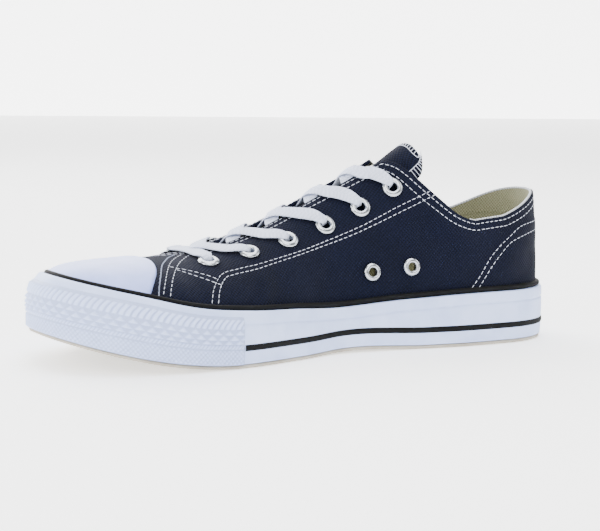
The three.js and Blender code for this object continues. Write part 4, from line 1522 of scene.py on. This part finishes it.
def lace_run(row, side, on_top):
    """The places of a length of lace from inside the eyelet at row-1 on -side to the one at row."""
    start, end = EYELET_ROWS[row - 1], EYELET_ROWS[row]
    extra = CROSSING_LIFT if on_top else 0.0
    plan = (
        LacePoint(0.00, -(start.out - 2.2), -3.0, 0.62, False),
        LacePoint(0.00, -(start.out - 4.2), UNDER_CLOTH, 0.75, True),
        LacePoint(-0.01, -10.0, UNDER_CLOTH, 0.85, True),
        LacePoint(-0.01, -6.6, -2.3, 0.85, True),
        LacePoint(0.01, -4.3, -1.0, 0.85, True),
        LacePoint(0.07, -2.2, 0.2 + extra * 0.6, 0.92, True),
        LacePoint(0.17, 0.4, OVER_THROAT + extra, 1.0, True),
        LacePoint(0.28, 3.6, OVER_THROAT + 0.25 + extra * 0.85, 1.0, True),
        LacePoint(0.42, 7.6, OVER_CLOTH + extra * 0.2, 1.0, True),
        LacePoint(0.59, end.out - 7.6, OVER_CLOTH + 0.1, 1.0, True),
        LacePoint(0.76, end.out - 4.6, OVER_CLOTH + 0.5, 0.92, True),
        LacePoint(0.90, end.out - 2.2, OVER_CLOTH + 0.85, 0.7, True),
        LacePoint(1.00, end.out - 1.0, OVER_CLOTH + 0.1, 0.54, False),
        LacePoint(1.00, end.out - HOLE_SHIFT, -0.8, 0.54, False),
        LacePoint(1.00, end.out - HOLE_SHIFT, -2.3, 0.54, False),
    )
    at = [start.at + (end.at - start.at) * p.share for p in plan]
    return [(a, side * p.out, p.height, p.width, p.flat) for a, p in zip(at, plan)]


def lace_bar_half(side):
    """Half of the straight length over the first pair of eyelets, from the middle outwards."""
    row = EYELET_ROWS[0]
    plan = (
        LacePoint(0, 0.0, OVER_CLOTH, 1.0, True),
        LacePoint(0, 5.0, OVER_CLOTH, 1.0, True),
        LacePoint(0, row.out - 8.0, OVER_CLOTH + 0.2, 1.0, True),
        LacePoint(0, row.out - 4.6, OVER_CLOTH + 0.9, 0.9, True),
        LacePoint(0, row.out - 2.2, OVER_CLOTH + 1.1, 0.66, True),
        LacePoint(0, row.out - 1.0, OVER_CLOTH + 0.1, 0.54, False),
        LacePoint(0, row.out - HOLE_SHIFT, -0.8, 0.54, False),
        LacePoint(0, row.out - HOLE_SHIFT, -2.3, 0.54, False),
    )
    return [(row.at, side * p.out, p.height, p.width, p.flat) for p in plan]


def lace_chain(side):
    """Places from the bar's middle through the eyelets of alternate sides up to the top row."""
    chain = lace_bar_half(side)
    for row in range(1, len(EYELET_ROWS)):
        side = -side
        chain += lace_run(row, side, on_top=side > 0)
    return chain


def make_lace():
    """One flat lace through all the eyelets, whose two ends stop inside the top pair."""
    sizes = bpy.context.scene.sneaker_sizes
    places = [*lace_chain(-1)[::-1], *lace_chain(1)[1:]]
    at, out, height, width, flat = (np.array(column) for column in zip(*places))
    side = np.where(out < 0, -1, 1)
    rise = rise_out(at, np.abs(out))
    knots = on_last(at, side, rise, height)
    normals = last_normal(at, side, rise)
    line = smooth_line(knots, 14)
    share = np.linspace(0, len(knots) - 1, len(line))
    index = np.arange(len(knots))
    wide = np.interp(share, index, width) * sizes.lace_width / MM / 2
    thick = np.interp(share, index, np.where(flat, sizes.lace_thick / MM, HOLE_THICK)) / 2
    tangents = np.gradient(knots, axis=0)
    across = np.cross(normals, tangents)
    across /= np.linalg.norm(across, axis=1, keepdims=True)
    kept = index[flat]
    last = across[kept[0]]
    for k in kept:
        if across[k] @ last < 0:
            across[k] *= -1
        last = across[k]
    ups = np.cross(np.gradient(line, axis=0), respaced(across[kept], kept, share))
    run = arc_lengths(line)
    even = np.linspace(0, run[-1], int(run[-1] / LACE_STEP))
    wide, thick = np.interp(even, run, wide), np.interp(even, run, thick)
    bm = bmesh.new()
    tube_mesh(bm, respaced(line, run, even), respaced(ups, run, even), wide, thick, sides=20)
    names = ["lace_bar", *(f"lace_crossing_{row}" for row in range(1, len(EYELET_ROWS)))]
    return finish_mesh(bm, "flat_lace", [Finishes.get("lace")], names, weld=0.005)


# ---------------------------------------------------------------------------------------------
# Stage

# The camera: its aim and distance in metres, its angles, and its lens and sensor in millimetres
TARGET = (0.0, -0.00115, 0.04)
CAMERA_DISTANCE = 0.8078
YAW, ELEVATION, ROLL = (math.radians(a) for a in (29.66, 6.66, 1.24))
LENS = 98.556
SENSOR = 36
SHIFT = (0.0076, -0.0023)

# Half size of the stage's sheets, the floor's drop under the tread and the wall's distance, in metres
SHEET_HALF = 6
FLOOR_DROP = 0.1 * MM
WALL_BACK = 3.6


def make_camera(lens):
    """A level camera turned by its yaw and elevation, then rolled."""
    level = math.cos(ELEVATION)
    back = Vector((math.sin(YAW) * level, math.cos(YAW) * level, math.sin(ELEVATION)))
    right = Vector((-math.cos(YAW), math.sin(YAW), 0))
    up = back.cross(right)
    x_axis = right * math.cos(ROLL) + up * math.sin(ROLL)
    y_axis = up * math.cos(ROLL) - right * math.sin(ROLL)
    data = bpy.data.cameras.new("studio_camera")
    data.lens = lens
    data.sensor_width = SENSOR
    data.shift_x, data.shift_y = SHIFT
    data.clip_start, data.clip_end = 0.05, 50
    camera = bpy.data.objects.new("studio_camera", data)
    place = Vector(TARGET) + back * CAMERA_DISTANCE
    turn = Matrix((x_axis, y_axis, back)).transposed().to_4x4()
    camera.matrix_world = Matrix.Translation(place) @ turn
    bpy.context.scene.collection.objects.link(camera)
    bpy.context.scene.camera = camera
    return camera


def make_light(name, place, size, energy, aim=(0, 0, 0.04)):
    """A rectangular softbox that faces its aim."""
    data = bpy.data.lights.new(name, "AREA")
    data.shape = "RECTANGLE"
    data.size, data.size_y = size
    data.energy = energy
    light = bpy.data.objects.new(name, data)
    light.location = place
    light.rotation_mode = "QUATERNION"
    light.rotation_quaternion = (Vector(place) - Vector(aim)).to_track_quat("Z", "Y")
    bpy.context.scene.collection.objects.link(light)
    return light


def make_sheet(name, half_size, place, turn):
    """A square sheet turned about X."""
    bm = bmesh.new()
    matrix = Matrix.Translation(place) @ Matrix.Rotation(turn, 4, "X")
    bmesh.ops.create_grid(bm, x_segments=1, y_segments=1, size=half_size, matrix=matrix)
    mesh = bpy.data.meshes.new(name)
    bm.to_mesh(mesh)
    bm.free()
    sheet = bpy.data.objects.new(name, mesh)
    bpy.context.scene.collection.objects.link(sheet)
    return sheet


def make_stage(settings):
    """White paper floor and wall, both lit from within, five softboxes and the camera."""
    floor = make_sheet("studio_floor", SHEET_HALF, (0, 0, -FLOOR_DROP), 0)
    values = {"Roughness": 0.9, "Emission Strength": settings.floor}
    material, _, shader = new_material("lit_white_paper", values)
    shader.inputs["Base Color"].default_value = linear("#f4f4f4")
    shader.inputs["Emission Color"].default_value = linear("#ffffff")
    floor.data.materials.append(material)
    wall = make_sheet("studio_wall", SHEET_HALF, (0, -WALL_BACK, 0), math.pi / 2)
    glow, _, shader = new_material("lit_white_backdrop", {"Emission Strength": settings.wall})
    shader.inputs["Emission Color"].default_value = linear("#ffffff")
    wall.data.materials.append(glow)
    lights = [
        make_light("key_softbox", (0.55, 1.15, 1.1), (1.1, 0.9), settings.key),
        make_light("top_softbox", (-0.1, 0.0, 1.6), (1.8, 1.4), settings.top),
        make_light("front_softbox", (1.3, 0.35, 0.5), (0.8, 0.8), settings.front),
        make_light("rear_softbox", (-1.2, 0.5, 0.7), (0.8, 0.8), settings.rear),
        make_light("far_softbox", (0.1, -1.3, 1.0), (1.2, 0.9), settings.far),
    ]
    camera = make_camera(settings.lens)
    world = bpy.data.worlds.new("studio_air")
    world.use_nodes = True
    background = world.node_tree.nodes["Background"]
    background.inputs["Color"].default_value = linear("#ffffff")
    background.inputs["Strength"].default_value = settings.air
    bpy.context.scene.world = world


# ---------------------------------------------------------------------------------------------
# Add-on


def colour_value(name, default, description):
    """A property that holds an sRGB hex colour."""
    return StringProperty(name=name, default=default, description=description)


class SneakerColours(bpy.types.PropertyGroup):
    """sRGB hex colours of the finishes."""

    canvas_thread: colour_value("Canvas thread", "#0c122a", "Navy of the threads' tops")
    canvas_gap: colour_value("Canvas gap", "#010205", "Navy between the threads")
    lining_thread: colour_value("Lining thread", "#a5a58b", "Khaki of the lining's threads")
    lining_gap: colour_value("Lining gap", "#757357", "Khaki between the lining's threads")
    edge_thread: colour_value("Edge thread", "#d9dbe0", "White of the strip inside the collar")
    edge_gap: colour_value("Edge gap", "#9fa3a8", "Shade between that strip's threads")
    fold_thread: colour_value("Fold thread", "#a3abc0", "Pale blue of the vamp's folded edge")
    fold_gap: colour_value("Fold gap", "#555d74", "Blue-grey between the fold's threads")
    rubber: colour_value("Rubber", "#c3d3fb", "White of the foxing and bumper")
    rubber_shade: colour_value("Rubber shade", "#b3c4f0", "Cooler white in the rubber")
    # painted shade for the bumper's hollows, not a colour of the rubber
    rubber_hollow_painted_shade: colour_value("Rubber hollow", "#a2b1da", "Grey-blue in the bumper's hollows")
    cap: colour_value("Cap", "#9dadeb", "White of the toe cap")
    cap_shade: colour_value("Cap shade", "#8e9fdd", "Cooler white in the toe cap")
    black: colour_value("Black", "#0c0d0e", "Black of the bead and stripe")
    black_shade: colour_value("Black shade", "#060607", "Deeper black")
    sheet: colour_value("Sheet rubber", "#b4ada0", "Tan of the tread")
    sheet_shade: colour_value("Sheet shade", "#a0998b", "Deeper tan")
    lace: colour_value("Lace", "#dfe6f8", "White of the lace")
    lace_shade: colour_value("Lace shade", "#a2aac6", "Shade between the lace's strands")
    thread: colour_value("Thread", "#e2e6f2", "White of the stitches")
    thread_shade: colour_value("Thread shade", "#b4bacb", "Shade between the thread's strands")
    label: colour_value("Label", "#c9c7bd", "Grey-beige of the plain label")
    label_border: colour_value("Label border", "#0d1018", "Dark weave round the label")
    metal: colour_value("Metal", "#cfd3d8", "Silver of the eyelets")
    metal_shade: colour_value("Metal shade", "#94999f", "Duller silver")


def length_value(name, millimetres, description):
    """A property that holds a length, with its default in millimetres."""
    return FloatProperty(
        name=name, description=description, default=millimetres * MM, min=0, precision=5,
        subtype="DISTANCE", unit="LENGTH",
    )


class SneakerSizes(bpy.types.PropertyGroup):
    """Sizes of the pieces that only the looks have."""

    lace_width: length_value("Lace width", 8.0, "Width of the flat lace")
    lace_thick: length_value("Lace thickness", 1.25, "Thickness of the flat lace")
    stitch_pitch: length_value("Stitch pitch", 2.85, "From one stitch to the next")
    stitch_long: length_value("Stitch length", 2.2, "Length of the thread that shows in a stitch")
    stitch_wide: length_value("Stitch width", 0.35, "Width of a stitch's thread")


class SneakerStage(bpy.types.PropertyGroup):
    """Lights in watts, and the camera's lens."""

    key: FloatProperty(name="Key", description="Key softbox's power", default=20.0, min=0)
    top: FloatProperty(name="Top", description="Top softbox's power", default=46.0, min=0)
    front: FloatProperty(name="Front", description="Toe side softbox's power", default=13.0, min=0)
    rear: FloatProperty(name="Rear", description="Heel side softbox's power", default=7.0, min=0)
    far: FloatProperty(name="Far", description="Far side softbox's power", default=14.0, min=0)
    air: FloatProperty(name="Air", description="Strength of the even light", default=0.45, min=0)
    wall: FloatProperty(name="Wall", description="Glow of the backdrop", default=4.4, min=0)
    floor: FloatProperty(name="Floor", description="Glow of the paper under the shoe", default=1.1, min=0)
    lens: FloatProperty(name="Lens", description="Focal length", default=LENS, min=10)


class SNEAKER_OT_outsole(bpy.types.Operator):
    """Build the grooved bottom sheet"""

    bl_idname = "sneaker.outsole"
    bl_label = "Outsole"

    def execute(self, context):
        make_outsole()
        return {"FINISHED"}


class SNEAKER_OT_foxing(bpy.types.Operator):
    """Build the white band round the sole"""

    bl_idname = "sneaker.foxing"
    bl_label = "Foxing"

    def execute(self, context):
        make_foxing()
        return {"FINISHED"}


class SNEAKER_OT_stripe(bpy.types.Operator):
    """Build the black strip on the foxing"""

    bl_idname = "sneaker.stripe"
    bl_label = "Stripe"

    def execute(self, context):
        make_stripe()
        return {"FINISHED"}


class SNEAKER_OT_bead(bpy.types.Operator):
    """Build the black bead over the foxing"""

    bl_idname = "sneaker.bead"
    bl_label = "Bead"

    def execute(self, context):
        make_bead()
        return {"FINISHED"}


class SNEAKER_OT_bumper(bpy.types.Operator):
    """Build the patterned toe strip"""

    bl_idname = "sneaker.bumper"
    bl_label = "Toe bumper"

    def execute(self, context):
        make_bumper()
        return {"FINISHED"}


class SNEAKER_OT_toe_cap(bpy.types.Operator):
    """Build the smooth rubber cap"""

    bl_idname = "sneaker.toe_cap"
    bl_label = "Toe cap"

    def execute(self, context):
        make_toe_cap()
        return {"FINISHED"}


class SNEAKER_OT_insole(bpy.types.Operator):
    """Build the sock lining"""

    bl_idname = "sneaker.insole"
    bl_label = "Insole"

    def execute(self, context):
        make_insole()
        return {"FINISHED"}


class SNEAKER_OT_upper(bpy.types.Operator):
    """Build the canvas upper with its lining"""

    bl_idname = "sneaker.upper"
    bl_label = "Upper"

    def execute(self, context):
        make_upper()
        return {"FINISHED"}


class SNEAKER_OT_seams(bpy.types.Operator):
    """Sew the stitch rows"""

    bl_idname = "sneaker.seams"
    bl_label = "Seams"

    def execute(self, context):
        make_seams()
        return {"FINISHED"}


class SNEAKER_OT_trims(bpy.types.Operator):
    """Build the pale fold and the collar's strip"""

    bl_idname = "sneaker.trims"
    bl_label = "Trims"

    def execute(self, context):
        make_trims()
        return {"FINISHED"}


class SNEAKER_OT_tongue(bpy.types.Operator):
    """Build the tongue"""

    bl_idname = "sneaker.tongue"
    bl_label = "Tongue"

    def execute(self, context):
        make_tongue()
        return {"FINISHED"}


class SNEAKER_OT_overlock(bpy.types.Operator):
    """Sew the tongue's edge"""

    bl_idname = "sneaker.overlock"
    bl_label = "Overlock"

    def execute(self, context):
        make_overlock()
        return {"FINISHED"}


class SNEAKER_OT_label(bpy.types.Operator):
    """Build the tongue's plain label"""

    bl_idname = "sneaker.label"
    bl_label = "Label"

    def execute(self, context):
        make_label()
        return {"FINISHED"}


class SNEAKER_OT_eyelets(bpy.types.Operator):
    """Build the lace eyelets"""

    bl_idname = "sneaker.eyelets"
    bl_label = "Eyelets"

    def execute(self, context):
        make_eyelets()
        return {"FINISHED"}


class SNEAKER_OT_vents(bpy.types.Operator):
    """Build the two vent eyelets"""

    bl_idname = "sneaker.vents"
    bl_label = "Vents"

    def execute(self, context):
        make_vents()
        return {"FINISHED"}


class SNEAKER_OT_lace(bpy.types.Operator):
    """Run the lace through the eyelets"""

    bl_idname = "sneaker.lace"
    bl_label = "Lace"

    def execute(self, context):
        make_lace()
        return {"FINISHED"}


class SNEAKER_OT_stage(bpy.types.Operator):
    """Set the floor, the lights and the camera"""

    bl_idname = "sneaker.stage"
    bl_label = "Stage"

    def execute(self, context):
        make_stage(context.scene.sneaker_stage)
        return {"FINISHED"}


OPERATORS = (
    SNEAKER_OT_outsole,
    SNEAKER_OT_foxing,
    SNEAKER_OT_stripe,
    SNEAKER_OT_bead,
    SNEAKER_OT_bumper,
    SNEAKER_OT_toe_cap,
    SNEAKER_OT_insole,
    SNEAKER_OT_upper,
    SNEAKER_OT_seams,
    SNEAKER_OT_trims,
    SNEAKER_OT_tongue,
    SNEAKER_OT_overlock,
    SNEAKER_OT_label,
    SNEAKER_OT_eyelets,
    SNEAKER_OT_vents,
    SNEAKER_OT_lace,
    SNEAKER_OT_stage,
)


class SNEAKER_PT_panel(bpy.types.Panel):
    """Lists the sneaker's pieces"""

    bl_label = "Sneaker"
    bl_idname = "SNEAKER_PT_panel"
    bl_space_type = "VIEW_3D"
    bl_region_type = "UI"
    bl_category = "Sneaker"

    def draw(self, context):
        for made in OPERATORS:
            self.layout.operator(made.bl_idname)


CLASSES = (SneakerColours, SneakerSizes, SneakerStage, *OPERATORS, SNEAKER_PT_panel)


def register():
    for made in CLASSES:
        bpy.utils.register_class(made)
    bpy.types.Scene.sneaker_colours = PointerProperty(type=SneakerColours)
    bpy.types.Scene.sneaker_sizes = PointerProperty(type=SneakerSizes)
    bpy.types.Scene.sneaker_stage = PointerProperty(type=SneakerStage)


def unregister():
    del bpy.types.Scene.sneaker_stage
    del bpy.types.Scene.sneaker_sizes
    del bpy.types.Scene.sneaker_colours
    for made in reversed(CLASSES):
        bpy.utils.unregister_class(made)


def main():
    register()
    for made in OPERATORS:
        group, name = made.bl_idname.split(".")
        getattr(getattr(bpy.ops, group), name)()


if __name__ == "__main__":
    main()
